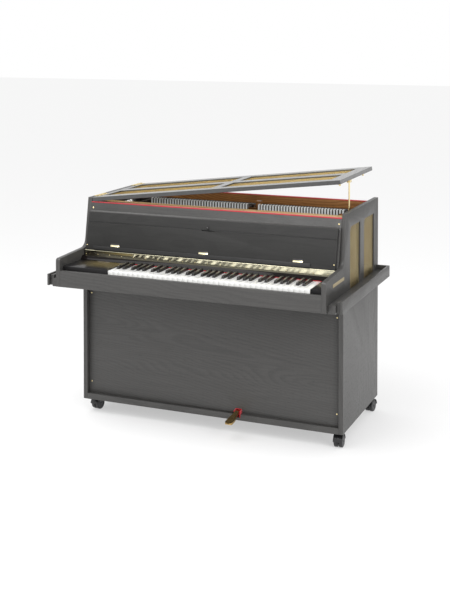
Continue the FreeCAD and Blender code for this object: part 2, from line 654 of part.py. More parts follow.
# Prop rod: hinged under the lid near its right end, hanging upright with its foot inside the case

eye = size("prop_wide") / 2 + 1
hung = lid_turn.multVec(V(size("prop_along"), 0,
                          -size("lid_drop") - size("lid_board") - size("prop_clear") - eye))
prop_x = -inner + hung.x
prop_top = size("case_top") + size("lid_drop") + hung.z
shank = Part.makeCylinder(size("prop_wide") / 2, prop_top - size("prop_foot"),
                          V(prop_x, size("prop_y"), size("prop_foot")))
knob = Part.makeCylinder(eye, size("prop_wide") + 3, V(prop_x - size("prop_wide") / 2 - 1.5, size("prop_y"),
                                                       prop_top),
                         V(1, 0, 0))
ball = Part.makeSphere(size("prop_wide") / 2 + 0.8, V(prop_x, size("prop_y"), size("prop_foot")))
pin_span = size("cheek_gap") + size("cheek_sheet") / 2


def prop_axle(play):
    return Part.makeCylinder(size("prop_pin") / 2 + play, 2 * pin_span, V(prop_x - pin_span, size("prop_y"), prop_top),
                             V(1, 0, 0))


shaped("prop_rod", [shank.fuse([knob, ball]).removeSplitter().cut(prop_axle(size("axle_play")))])

# Fittings on the lid: its hinge leaves, the bracket of the prop rod, and two locating pins

lid_spot = FreeCAD.Placement(V(-inner + size("lid_drop") * math.sin(math.radians(size("lid_rise"))), 0,
                               size("case_top") + size("lid_drop")
                               - size("lid_drop") * math.cos(math.radians(size("lid_rise")))), lid_turn)
under = -size("lid_board")
mid_x, mid_y = size("prop_along"), size("prop_y")
half_long, gap = size("cheek_long") / 2, size("cheek_gap")
bracket = []
for x0 in (mid_x - gap - size("cheek_sheet"), mid_x + gap):
    bracket.append(solid_box(x0, x0 + size("cheek_sheet"), mid_y - half_long, mid_y + half_long,
                             under - size("cheek_tall"), under))
for y0 in (mid_y - half_long, mid_y + half_long - size("foot_long")):
    bracket.append(solid_box(mid_x - gap, mid_x + gap, y0, y0 + size("foot_long"),
                             under - size("foot_sheet"), under))
for solid in bracket:
    solid.Placement = lid_spot
fittings = [prop_axle(0).fuse(bracket).removeSplitter()]
for solid in moved:
    solid.Placement = lid_spot
    fittings.append(solid)
for y in (size("pin_one"), size("pin_two")):
    pin = Part.makeCylinder(size("pin_round") / 2, size("pin_long"),
                            V(size("lid_gap") + size("pin_along"), y, under - size("pin_long")))
    pin.Placement = lid_spot
    fittings.append(pin)
shaped("lid_fittings", fittings)

# Keys. Each is one wooden lever with its covering: a head in front, a tail between the raised keys,
# and a lever that slants to its hammer. Twelve nodes, one for each note name.

NOTES = ("c", "c_sharp", "d", "d_sharp", "e", "f", "f_sharp", "g", "g_sharp", "a", "a_sharp", "b")
WHITE_STEP = {"c": 0, "d": 1, "e": 2, "f": 3, "g": 4, "a": 5, "b": 6}
LEFT_NOTES = 36
ALL_NOTES = 66
pitch = size("white_pitch")
low_tail = 3 * pitch / 5
high_tail = 4 * pitch / 7


def tail_centre(index):
    """Middle of a key's tail, counted in semitones from the lowest C."""
    octave, step = divmod(index, 12)
    start = size("key_left") + 7 * pitch * octave
    if step < 5:
        return start + (step + 0.5) * low_tail
    return start + 3 * pitch + (step - 5 + 0.5) * high_tail


def note_centre(index):
    """Middle of a hammer and its sound plate."""
    if index < LEFT_NOTES:
        return size("note_one") + (index + 0.5) * size("note_pitch")
    return size("note_break") + (index - LEFT_NOTES + 0.5) * size("note_pitch")


def lever_points(index, front):
    """Plan of the tail and lever from a front line to the sticker."""
    tail, note = tail_centre(index), note_centre(index)
    half = (high_tail - size("lever_play")) / 2
    a, b, c = size("shear_start"), size("shear_end"), size("key_tail")
    return [(tail + half, front), (tail + half, a), (note + half, b), (note + half, c),
            (note - half, c), (note - half, b), (tail - half, a), (tail - half, front)]


def rocked(key):
    """The key with the half-round notch that sits over the balance rail's bead."""
    radius = size("bead_round") / 2 + size("bead_play")
    notch = Part.makeCylinder(radius, 2 * outer, V(-outer, size("balance_y"), size("key_under")), V(1, 0, 0))
    return key.removeSplitter().cut(notch)


def sticker(index):
    high = size("hammer_pin_z") - 5 - size("sticker_clear")
    return Part.makeCylinder(size("sticker_wide") / 2, high - size("lever_top"),
                             V(note_centre(index), size("sticker_y"), size("lever_top")))


def white_key(index):
    octave, step = divmod(index, 12)
    left = size("key_left") + pitch * (7 * octave + WHITE_STEP[NOTES[step]])
    gap = size("key_gap") / 2
    front = size("key_front")
    neck = front + size("white_shown") - size("black_shown") - 1.5
    half = (high_tail - size("lever_play")) / 2 + 0.2
    if index == ALL_NOTES - 1:
        half_right = left + pitch - gap - tail_centre(index)
    else:
        half_right = half
    tail = tail_centre(index)
    shown = [(left + gap, front), (left + pitch - gap, front), (left + pitch - gap, neck),
             (tail + half_right, neck), (tail + half_right, size("name_foot") + 18),
             (tail - half, size("name_foot") + 18), (tail - half, neck), (left + gap, neck)]
    clean = [p for n, p in enumerate(shown) if p != shown[n - 1]]
    low, high = size("key_under"), size("key_top")
    head = prism([V(x, y, low) for x, y in clean], V(0, 0, high - low))
    edges = [e for e in head.Edges if abs(e.CenterOfMass.y - front) < 0.1 and abs(e.CenterOfMass.z - high) < 0.1]
    head = head.makeFillet(size("white_lip"), edges)
    lever = prism([V(x, y, low) for x, y in lever_points(index, size("name_foot") + 10)],
                  V(0, 0, size("lever_top") - low))
    return rocked(head.fuse([lever, sticker(index)]))


def black_key(index):
    tail = tail_centre(index)
    front = size("key_front") + size("white_shown") - size("black_shown")
    back = size("name_foot") - 1
    low, high = size("key_under"), size("key_top") + size("black_rise")
    foot, crown = size("black_foot") / 2, size("black_crown") / 2
    slope = size("black_rise") * 0.35
    wires = []
    for y, drop in ((front + 1, 0), (front + 1 + slope, size("black_rise") - 1), (back, size("black_rise"))):
        base = size("key_top") - 1
        top = base + 1 + drop if drop else base + 2
        wide = foot - (foot - crown) * max(drop, 0.1) / size("black_rise")
        wires.append(Part.makePolygon([V(tail - foot, y, base), V(tail + foot, y, base), V(tail + wide, y, top),
                                       V(tail - wide, y, top), V(tail - foot, y, base)]))
    cap = Part.makeLoft(wires, True, True)
    body = solid_box(tail - foot, tail + foot, front + 1, size("name_foot") + 18, low, size("key_top") - 1)
    lever = prism([V(x, y, low) for x, y in lever_points(index, size("name_foot") + 10)],
                  V(0, 0, size("lever_top") - low))
    return rocked(body.fuse([cap, lever, sticker(index)]))


for step, note in enumerate(NOTES):
    make = white_key if note in WHITE_STEP else black_key
    shaped("key_" + note, [make(index) for index in range(step, ALL_NOTES, 12)])

# Hammers: felt head, shank, butt on the common pin and a tail over the sticker, one node per note name


def hammer(index):
    x, y = note_centre(index), size("hammer_y")
    half, deep = size("hammer_wide") / 2, size("hammer_deep")
    low, high = size("hammer_low"), size("hammer_top")
    a, b = V(x - half, y - deep / 2, low + half), V(x + half, y - deep / 2, low + half)
    c, d = V(x + half, y - deep / 2, high - half), V(x - half, y - deep / 2, high - half)
    over = Part.Arc(c, V(x, y - deep / 2, high), d).toShape()
    below = Part.Arc(a, V(x, y - deep / 2, low), b).toShape()
    wire = Part.Wire([below, Part.makeLine(b, c), over, Part.makeLine(d, a)])
    head = Part.Face(wire).extrude(V(0, deep, 0))
    pin_y, pin_z = size("hammer_pin_y"), size("hammer_pin_z")
    shank = Part.makeCylinder(2.5, pin_y - y - deep / 2, V(x, y + deep / 2 - 3, pin_z + 3), V(0, 1, 0))
    butt = solid_box(x - half + 0.5, x + half - 0.5, pin_y - 8, pin_y + 8, pin_z - 5, pin_z + 8)
    tail = solid_box(x - 3, x + 3, pin_y + 7, size("sticker_y") + 5, pin_z - 5, pin_z + 3)
    hole = Part.makeCylinder(size("hammer_pin") / 2 + size("pin_play"), 2 * half + 2, V(x - half - 1, pin_y, pin_z),
                             V(1, 0, 0))
    return head.fuse([shank, butt, tail]).removeSplitter().cut(hole)


for step, note in enumerate(NOTES):
    shaped("hammer_" + note, [hammer(index) for index in range(step, ALL_NOTES, 12)])

# Sound plates over the resonator box, graded in length

plates = []
for index in range(ALL_NOTES):
    share = index / (ALL_NOTES - 1)
    long = size("plate_low_long") + (size("plate_high_long") - size("plate_low_long")) * share
    x = note_centre(index)
    z = size("box_top") + size("plate_rest")
    plates.append(solid_box(x - size("plate_wide") / 2, x + size("plate_wide") / 2, size("plate_front"),
                            size("plate_front") + long, z, z + size("plate_sheet")))
shaped("sound_plates", plates)

case = block("box_case", ("works_left", "works_right"), ("box_front", "box_back"), ("box_under", "box_top"))
rests = [block("plate_rest_%d" % n, ("works_left", "works_right"), (y, y + " + 8"), ("box_top", "box_top + plate_rest"))
         for n, y in enumerate(("plate_front + 24", "plate_front + 76"))]
joined("resonator_box", [case] + rests)

# Action frame: end boards, hammer rail and pin, middle post, the three key rails, trap lever bearings

RAIL_UP = "(key_under - rail_clear)"
MID = "(note_one + 36 * note_pitch + note_break) / 2"
works = [
    block("hammer_rail", ("works_left", "works_right"), ("hammer_pin_y - 10", "hammer_pin_y + 10"),
          ("box_top", "hammer_pin_z - 8")),
    block("middle_post", (MID + " - 12", MID + " + 12"), ("hammer_pin_y - 12", "hammer_pin_y + 14"),
          ("hammer_pin_z - 8", "hammer_top + 3")),
    rod("hammer_pin_low", "hammer_pin / 2", MID + " - 12 - works_left", ("works_left", "hammer_pin_y", "hammer_pin_z"),
        "x"),
    rod("hammer_pin_high", "hammer_pin / 2", "works_right - %s - 12" % MID,
        (MID + " + 12", "hammer_pin_y", "hammer_pin_z"), "x"),
]
for side, x0 in (("left", "works_left - cheek_board"), ("right", "works_right")):
    works.append(block("end_board_" + side, (x0, x0 + " + cheek_board"),
                       ("box_front", "hammer_pin_y + 12"), (KEYBED_TOP, "hammer_pin_z + 8")))
key_rails = [
    block("key_rail_front", ("key_left", KEY_END), ("key_front + 6", "key_front + 41"),
          (KEYBED_TOP, KEYBED_TOP + " + front_rail_high")),
    block("key_rail_balance", ("works_left", "works_right + 4"), ("balance_y - rail_width / 2",
                                                                  "balance_y + rail_width / 2"),
          (KEYBED_TOP, RAIL_UP)),
    block("key_rail_back", ("works_left", "works_right"), ("back_rail_y - 12", "back_rail_y + 12"),
          (KEYBED_TOP, RAIL_UP)),
]
bead = Part.makeCylinder(size("bead_round") / 2, size("works_right") + 4 - size("works_left"),
                         V(size("works_left"), size("balance_y"), size("key_under")), V(1, 0, 0))
above = solid_box(-outer, outer, 0, size("back_rail_y"), size("key_under") - size("rail_clear"),
                  size("key_top"))
key_rails.append(shaped("balance_bead", [bead.common(above)]))
bearings = []
for n, x0 in enumerate(("pedal_x + 40", "lift_x - 60")):
    base = block("bearing_blank_%d" % n, (x0, x0 + " + 16"), ("trap_y - 15", "trap_y + 15"),
                 ("floor_top", "trap_z + trap_shaft"))
    hole = rod("bearing_hole_%d" % n, "trap_shaft / 2 + axle_play", "18", (x0 + " - 1", "trap_y", "trap_z"),
               "x")
    bearings.append(cut("bearing_%d" % n, base, [hole]))
together("action_frame", works + key_rails + bearings)

# Damper rail with its lift rod, raised by the pedal

PLATE_TOP = "(box_top + plate_rest + plate_sheet)"
ARM_TOP = "(pedal_top + trap_clear + trap_arm)"
damper = block("damper_bar", ("works_left + 3", "works_right - 3"),
               ("damper_y - damper_deep / 2", "damper_y + damper_deep / 2"),
               (PLATE_TOP + " + damper_clear", PLATE_TOP + " + damper_clear + damper_tall"))
bridge = block("damper_bridge", ("works_right - 6", "lift_x + lift_rod / 2 + 3"),
               ("damper_y - damper_deep / 2", "damper_y + damper_deep / 2"),
               ("hammer_pin_z + 8.6", "hammer_pin_z + 16"))
riser = block("damper_riser", ("works_right - 10", "works_right - 3"),
              ("damper_y - damper_deep / 2", "damper_y + damper_deep / 2"),
              (PLATE_TOP + " + damper_clear", "hammer_pin_z + 16"))
lift = rod("damper_rod", "lift_rod / 2", "hammer_pin_z + 10 - " + ARM_TOP + " - 0.4",
           ("lift_x", "damper_y", ARM_TOP + " + 0.4"), "z")
joined("damper_rail", [damper, riser, bridge, lift])

# Pedal: brass lever with a drooping neck and a rounded toe, on a cross pin in the bottom board

px, top, pin_y = size("pedal_x"), size("pedal_top"), size("pedal_pin_y")
reach, low = -size("pedal_reach"), top - size("pedal_board")
profile = [(size("pedal_back"), top), (size("pedal_back"), low + 1), (40, low), (-8, low),
           (-62, low - 9), (reach + 6, low - 12.5), (reach, low - 10), (reach, low - 6.5), (reach + 8, low - 3),
           (-60, low + 1), (-6, top), (4, top)]
side_view = prism([V(px - size("pedal_toe") / 2, y, z) for y, z in profile], V(size("pedal_toe"), 0, 0))
neck, toe = size("pedal_neck") / 2, size("pedal_toe") / 2
tip = toe * 0.75
plan = [(neck, size("pedal_back") + 1), (neck, -20), (toe, -62), (toe, reach + tip), (toe * 0.82, reach + tip * 0.42),
        (toe * 0.5, reach + tip * 0.12), (0, reach), (-toe * 0.5, reach + tip * 0.12),
        (-toe * 0.82, reach + tip * 0.42), (-toe, reach + tip), (-toe, -62), (-neck, -20),
        (-neck, size("pedal_back") + 1)]
plan_view = prism([V(px + x, y, size("case_under")) for x, y in plan], V(0, 0, top))
pedal_body = side_view.common(plan_view)
pedal_pin = Part.makeCylinder(size("pedal_pin") / 2, size("slot_width") + 20,
                              V(px - size("slot_width") / 2 - 10, pin_y, size("pedal_pin_z")), V(1, 0, 0))
boss = solid_box(px - neck, px + neck, pin_y - 9, pin_y + 9, size("pedal_pin_z") - 7, top)
shaped("pedal", [pedal_body.fuse([boss, pedal_pin]).removeSplitter()])

# Trap lever: shaft across the case floor with two forward arms

tz, ty = size("trap_z"), size("trap_y")
arm_low = size("pedal_top") + size("trap_clear")
arms = []
for x, reach in ((px, size("trap_reach")), (size("lift_x"), size("damper_y") - 6)):
    arms.append(solid_box(x - 8, x + 8, reach, ty, arm_low, arm_low + size("trap_arm")))
    arms.append(Part.makeCylinder(size("trap_shaft") / 2 + 5, 16, V(x - 8, ty, tz), V(1, 0, 0)))
shaft = Part.makeCylinder(size("trap_shaft") / 2, size("lift_x") + 12 - px + 12, V(px - 12, ty, tz), V(1, 0, 0))
shaped("trap_lever", [shaft.fuse(arms).removeSplitter()])

# Carrying handles: a batten along each side, spacers, a board across the rear end, a thin outer rail


def across(sign, inside, outside):
    """Span in X beside the left or the right side board."""
    if sign > 0:
        return ("case_width / 2 + " + inside, "case_width / 2 + " + outside)
    return ("-(case_width / 2 + %s)" % outside, "-(case_width / 2 + %s)" % inside)


handle_parts = []
for side, sign in (("left", -1), ("right", 1)):
    handle_parts.append(block("batten_" + side, across(sign, "0", "batten_wide"),
                              ("handle_front - 2", "handle_back"), ("batten_low",
                                                                    "batten_low + batten_tall")))
    handle_parts.append(block("handle_rail_" + side, across(sign, "handle_gap", "handle_gap + handle_board"),
                              ("handle_front", "handle_back + handle_end"), ("handle_low", "handle_low + handle_tall")))
    handle_parts.append(block("handle_end_" + side, across(sign, "0", "handle_gap"),
                              ("handle_back", "handle_back + handle_end"), ("handle_low", "handle_low + handle_tall")))
    middle = "((handle_front + handle_back) / 2 + 3)"
    for name, y0, low, tall in (("front", "(handle_front + handle_end)", "handle_low", "(handle_tall - 4)"),
                                ("middle", middle, "arm_under", "spacer_tall")):
        handle_parts.append(block("spacer_%s_%s" % (name, side), across(sign, "batten_wide", "handle_gap"),
                                  (y0, y0 + " + spacer_long"), (low, low + " + " + tall)))
together("carry_handles", handle_parts)

# Casters: hood with its stem, turning on the case, and a pair of wheels on an axle behind the stem

wheel_r = size("wheel_round") / 2
wide, gap = size("wheel_wide"), size("wheel_gap")
trail = size("caster_trail")
hood_r = wheel_r + size("hood_clear")


def hood_solids():
    """Hood drawn with its stem on the origin and the axle on the -Y side of it."""
    half = wide + gap / 2 + size("hood_clear")
    outer_r = hood_r + size("hood_sheet")
    shell = Part.makeCylinder(outer_r, 2 * half, V(-half, -trail, wheel_r), V(1, 0, 0))
    room = Part.makeCylinder(hood_r, 2 * half + 2, V(-half - 1, -trail, wheel_r), V(1, 0, 0))
    keep = prism([V(-half - 2, -trail - outer_r - 2, wheel_r + 2), V(-half - 2, -trail + outer_r + 2,
                                                                     wheel_r + 2),
                  V(-half - 2, -trail + outer_r + 2, 90), V(-half - 2, -trail - outer_r - 2, 90)],
                 V(2 * half + 4, 0, 0))
    cover = shell.cut(room).common(keep)
    web = Part.makeCylinder(hood_r + 1, gap - 2, V(-gap / 2 + 1, -trail, wheel_r), V(1, 0, 0))
    web = web.common(solid_box(-gap, gap, -trail - 60, -trail + 60, wheel_r - 9, 90))
    web = web.cut(Part.makeCylinder(size("axle_round") / 2 + size("axle_play"), gap + 4,
                                    V(-gap / 2 - 2, -trail, wheel_r), V(1, 0, 0)))
    stem_low = wheel_r + math.sqrt(max(outer_r ** 2 - trail ** 2, 1)) - 6
    stem = Part.makeCylinder(size("stem_round") / 2, size("case_under") - stem_low - 0.3, V(0, 0, stem_low))
    collar = Part.makeCylinder(size("stem_round") / 2 + 7, 3, V(0, 0, size("case_under") - 3.3))
    stem = stem.fuse(collar).cut(Part.makeCylinder(hood_r, 2 * half + 2, V(-half - 1, -trail, wheel_r), V(1, 0, 0)))
    return cover.fuse([web, stem]).removeSplitter()


def wheel_solids():
    """Two tyred wheels and the axle between them."""
    solids = [Part.makeCylinder(size("axle_round") / 2, gap, V(-gap / 2, -trail, wheel_r), V(1, 0, 0))]
    for x in (-wide - gap / 2, gap / 2):
        wheel = Part.makeCylinder(wheel_r, wide, V(x, -trail, wheel_r), V(1, 0, 0))
        rims = [e for e in wheel.Edges if e.Curve.TypeId == "Part::GeomCircle"]
        solids.append(wheel.makeFillet(size("tyre_round"), rims))
    return solids


CASTERS = (("front_left", -1, "caster_front", 169), ("front_right", 1, "caster_front", 2),
           ("back_left", -1, "caster_back", 195), ("back_right", 1, "caster_back", 170))
for where, sign, row, turn in CASTERS:
    spot = FreeCAD.Placement(V(sign * size("caster_x"), size(row), 0), FreeCAD.Rotation(V(0, 0, 1), turn))
    shaped("caster_" + where, [hood_solids()], spot)
    shaped("wheels_" + where, wheel_solids(), spot)

doc.recompute()

# Export

NODES = ["side_left", "side_right", "side_grilles", "bottom_board", "front_panel", "back_panel", "keybed",
         "key_blocks", "nameboard", "case_hinges", "fallboard", "fallboard_lip", "leaf_hinges", "music_ledge",
         "upper_front_panel", "inner_rails", "red_felts", "lid", "lid_mesh", "lid_fittings", "prop_rod",
         "sound_plates", "resonator_box", "action_frame", "damper_rail", "pedal", "trap_lever", "carry_handles"]
NODES += ["key_" + note for note in NOTES] + ["hammer_" + note for note in NOTES]
NODES += [kind + where for where, sign, row, turn in CASTERS for kind in ("caster_", "wheels_")]

for thing in doc.Objects:
    if "Invalid" in thing.State or "Error" in thing.State:
        raise RuntimeError("%s failed: %s" % (thing.Label, thing.State))
found = {}
for thing in doc.Objects:
    if thing.Label in NODES and hasattr(thing, "Shape"):
        found[thing.Label] = thing
os.makedirs("parts", exist_ok=True)
for node in NODES:
    shape = found[node].Shape
    if shape.isNull() or not shape.isValid() or not shape.Solids:
        raise RuntimeError(node + " has no valid solid")
for node in NODES:
    found[node].Shape.exportStep("parts/%s.step" % node)
print(len(NODES), "nodes,", sum(len(found[node].Shape.Solids) for node in NODES), "solids")
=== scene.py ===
import json
import math

import bmesh
import bpy
import numpy as np
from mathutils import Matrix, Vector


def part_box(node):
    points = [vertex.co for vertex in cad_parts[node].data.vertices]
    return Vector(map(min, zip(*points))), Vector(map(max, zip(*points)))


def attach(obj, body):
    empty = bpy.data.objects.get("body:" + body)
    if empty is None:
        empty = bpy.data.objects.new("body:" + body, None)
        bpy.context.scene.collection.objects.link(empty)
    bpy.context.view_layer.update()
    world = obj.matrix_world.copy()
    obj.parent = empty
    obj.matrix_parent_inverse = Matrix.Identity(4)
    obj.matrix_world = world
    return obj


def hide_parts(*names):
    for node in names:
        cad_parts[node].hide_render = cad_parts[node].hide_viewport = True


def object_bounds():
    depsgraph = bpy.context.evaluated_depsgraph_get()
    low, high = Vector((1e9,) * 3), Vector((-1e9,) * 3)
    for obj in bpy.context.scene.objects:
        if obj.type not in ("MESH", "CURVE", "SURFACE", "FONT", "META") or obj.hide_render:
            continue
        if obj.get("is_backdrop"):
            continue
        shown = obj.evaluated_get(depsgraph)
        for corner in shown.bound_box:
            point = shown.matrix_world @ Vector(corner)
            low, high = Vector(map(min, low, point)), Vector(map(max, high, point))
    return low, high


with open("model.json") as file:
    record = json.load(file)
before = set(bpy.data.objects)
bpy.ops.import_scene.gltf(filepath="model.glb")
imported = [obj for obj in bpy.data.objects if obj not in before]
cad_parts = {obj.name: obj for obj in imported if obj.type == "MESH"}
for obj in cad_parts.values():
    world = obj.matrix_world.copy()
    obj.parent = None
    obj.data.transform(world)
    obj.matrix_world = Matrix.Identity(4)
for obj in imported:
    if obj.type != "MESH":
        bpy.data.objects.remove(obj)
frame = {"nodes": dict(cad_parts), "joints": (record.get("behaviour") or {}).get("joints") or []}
nodes = frame["nodes"]
cad_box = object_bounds()

# Case boards
# Black-stained open-pore ash, oiled to a satin. The boards are sawn square and their edges are eased
# by hand, which is what catches the light along every arris.


class Wire:
    """A shader socket in a sum: expressions such as 1 - wire * 2 add their Math nodes."""

    def __init__(self, finish, socket):
        self.finish = finish
        self.socket = socket

    def math(self, operation, *others):
        return self.finish.node("ShaderNodeMath", {"operation": operation}, [self, *others])

    def __add__(self, other):
        return self.math("ADD", other)

    def __radd__(self, other):
        return self.math("ADD", other)

    def __sub__(self, other):
        return self.math("SUBTRACT", other)

    def __rsub__(self, other):
        return self.finish.node("ShaderNodeMath", {"operation": "SUBTRACT"}, [other, self])

    def __mul__(self, other):
        return self.math("MULTIPLY", other)

    def __rmul__(self, other):
        return self.math("MULTIPLY", other)

    def __pow__(self, other):
        return self.math("POWER", other)

    def step(self, low, high):
        """0 below low, 1 above high, and a smooth rise between."""
        return self.finish.node("ShaderNodeMapRange", {"interpolation_type": "SMOOTHSTEP"},
                                {"Value": self, "From Min": low, "From Max": high})


class Finish:
    """A material being put together from nodes, on the object's own coordinates in metres."""

    def __init__(self, name):
        self.material = bpy.data.materials.new(name)
        self.material.use_nodes = True
        self.tree = self.material.node_tree
        self.tree.nodes.clear()
        self.place = self.node("ShaderNodeTexCoord", output="Object")

    def node(self, kind, settings=None, values=None, output=0):
        made = self.tree.nodes.new(kind)
        for name, value in (settings or {}).items():
            if name == "stops":
                while len(made.color_ramp.elements) < len(value):
                    made.color_ramp.elements.new(0.5)
                for element, (position, colour) in zip(made.color_ramp.elements, value):
                    element.position = position
                    element.color = (*colour, 1.0)
            else:
                setattr(made, name, value)
        pairs = values.items() if isinstance(values, dict) else enumerate(values or [])
        for key, value in pairs:
            if isinstance(value, Wire):
                self.tree.links.new(value.socket, made.inputs[key])
            elif value is not None:
                made.inputs[key].default_value = value
        return Wire(self, made.outputs[output])

    def split(self, vector):
        """The X, Y and Z of a vector as three wires."""
        made = self.node("ShaderNodeSeparateXYZ", values=[vector])
        return [Wire(self, socket) for socket in made.socket.node.outputs]

    def join(self, x, y, z):
        """One vector from three wires or numbers."""
        return self.node("ShaderNodeCombineXYZ", values=[x, y, z])

    def noise(self, vector, scale, detail=3.0, rough=0.55):
        return self.node("ShaderNodeTexNoise", values={"Vector": vector, "Scale": scale, "Detail": detail,
                                                       "Roughness": rough})

    def blend(self, share, first, second):
        """First colour where share is 0, second where it is 1."""
        return self.node("ShaderNodeMix", {"data_type": "RGBA"}, {0: share, 6: first, 7: second}, output=2)

    def relief(self, height, depth):
        """A normal bent by a height that varies between 0 and 1, depth metres deep."""
        return self.node("ShaderNodeBump", values={"Strength": 1.0, "Distance": depth, "Height": height})

    def surface(self, **sockets):
        """The principled shader with its sockets set, as the material's surface."""
        names = {key.replace("_", " "): value for key, value in sockets.items()}
        shader = self.node("ShaderNodeBsdfPrincipled", values=names, output="BSDF")
        self.node_out(shader)
        return self.material

    def node_out(self, shader):
        """The shader as what the whole surface shows."""
        made = self.tree.nodes.new("ShaderNodeOutputMaterial")
        self.tree.links.new(shader.socket, made.inputs["Surface"])


AXES = {"x": (0, 1, 2), "y": (1, 2, 0), "z": (2, 0, 1)}


def sawn(finish, along, heart, turn=(0.0, 0.0, 0.0), coarse=1.0):
    """Grain of a sawn board: (rings, streaks, pores), each between 0 and 1.

    The rings are cylinders round a line near the board, heart, which leans away along the board, so that
    its faces show long arches. Streaks and pores are noise drawn out along the grain.
    """
    square = finish.node("ShaderNodeMapping", values=[finish.place, (0.0, 0.0, 0.0), turn])
    parts = finish.split(square)
    u, a, b = (parts[axis] for axis in AXES[along])
    sway = finish.noise(finish.join(u * 1.1, a * 5.0, b * 5.0), 1.0, 2.0) - 0.5
    wobble = finish.noise(finish.join(u * 5.0, a * 22.0, b * 22.0), 1.0, 2.0) - 0.5
    across = a - heart[0] + sway * 0.16
    deep = b - heart[1] + u * heart[2] + sway * 0.10
    radius = (across * across + deep * deep) ** 0.5 + wobble * 0.010
    wide = 0.011 * coarse
    rings = (radius * (1.0 / wide)).math("FRACT")
    late = rings.step(0.25, 0.80) * (1.0 - rings.step(0.90, 1.0))
    streaks = finish.noise(finish.join(u * 6.0, a * 330.0, b * 330.0), 1.0, 3.0, 0.6)
    pores = finish.noise(finish.join(u * 55.0, a * 1300.0, b * 1300.0), 1.0, 2.0, 0.5).step(0.56, 0.70)
    return late, streaks, pores


def stained_wood(name, along, heart, dark=(0.036, 0.035, 0.034), pale=(0.068, 0.066, 0.063), turn=(0.0, 0.0, 0.0),
                 shine=0.40, gleam=0.5, coat=0.0):
    """Black stain on open-pore ash: the early wood is paler, the pores are darker and sunk."""
    finish = Finish(name)
    late, streaks, pores = sawn(finish, along, heart, turn)
    tone = late * 0.22 + (streaks - 0.5) * 1.0 + 0.40
    stain = finish.blend(tone.math("MAXIMUM", 0.0).math("MINIMUM", 1.0), (*pale, 1.0), (*dark, 1.0))
    colour = finish.blend(pores * 0.55, stain, (0.012, 0.012, 0.013, 1.0))
    smear = finish.noise(finish.place, 3.0, 2.0)
    rough = shine + (smear - 0.5) * 0.10 + pores * 0.18 + late * 0.04
    height = 1.0 - pores * 0.8 - late * 0.10 - streaks * 0.2
    return finish.surface(Base_Color=colour, Roughness=rough, Normal=finish.relief(height, 0.00020),
                          Specular_IOR_Level=gleam, Coat_Weight=coat, Coat_Roughness=0.30)


def paint(piece, *materials):
    """Gives a mesh these materials in place of what it has."""
    piece.data.materials.clear()
    for material in materials:
        piece.data.materials.append(material)


def as_piece(name, mesh, body, slot, *materials):
    """Links a finished mesh as a piece that rides on a body."""
    piece = bpy.data.objects.new(name, mesh)
    bpy.context.scene.collection.objects.link(piece)
    paint(piece, *materials)
    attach(piece, body)
    return piece


def eased(node, edge, body, slot, *materials, steps=2):
    """The board of a CAD node with its edges eased: doubles merged, flat faces made whole, edges rounded."""
    solid = bmesh.new()
    solid.from_mesh(nodes[node].data)
    bmesh.ops.remove_doubles(solid, verts=solid.verts, dist=1e-6)
    bmesh.ops.dissolve_limit(solid, angle_limit=math.radians(0.6), verts=solid.verts, edges=solid.edges)
    for face in solid.faces:
        face.smooth = True
    mesh = bpy.data.meshes.new(node + "_eased")
    solid.to_mesh(mesh)
    solid.free()
    piece = as_piece(node + "_eased", mesh, body, slot, *materials)
    bevel = piece.modifiers.new("eased edge", "BEVEL")
    bevel.width = edge
    bevel.segments = steps
    bevel.limit_method = "ANGLE"
    bevel.angle_limit = math.radians(30)
    bevel.harden_normals = True
    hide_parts(node)
    return piece


def second_where(piece, chosen):
    """Gives the second material to the faces whose middle passes a test on an array of points."""
    polygons = piece.data.polygons
    middle = np.empty(3 * len(polygons))
    polygons.foreach_get("center", middle)
    polygons.foreach_set("material_index", chosen(middle.reshape(-1, 3)).astype(int))
    piece.data.update()


BOARD_EDGE = 0.0012
side_grain = {"side_left": stained_wood("stained side left", "z", (0.18, -0.54, 0.07)),
              "side_right": stained_wood("stained side right", "z", (0.20, 0.54, -0.06))}
for side, grain in side_grain.items():
    eased(side, BOARD_EDGE, "case", "black_wood", grain)
front_grain = stained_wood("stained lower panel", "x", (0.075, 0.36, 0.16))
eased("front_panel", BOARD_EDGE, "case", "black_wood", front_grain)
eased("bottom_board", BOARD_EDGE, "case", "black_wood", stained_wood("stained plinth", "x", (0.30, 0.02, 0.03)))
eased("keybed", BOARD_EDGE, "case", "black_wood", stained_wood("stained keybed", "x", (-0.30, 0.62, 0.03)))
eased("upper_front_panel", BOARD_EDGE, "case", "black_wood",
      stained_wood("stained top rail", "x", (0.16, 0.90, 0.02)))
eased("back_panel", BOARD_EDGE, "case", "black_wood",
      stained_wood("stained back", "x", (0.62, 0.50, 0.10), shine=0.55))

# Carrying handles
# Battens, spacers and thin outer rails of the same stained ash, screwed to the sides at belly height.

eased("carry_handles", BOARD_EDGE, "case", "black_wood", stained_wood("stained handles", "y", (0.66, 0.60, 0.02)))
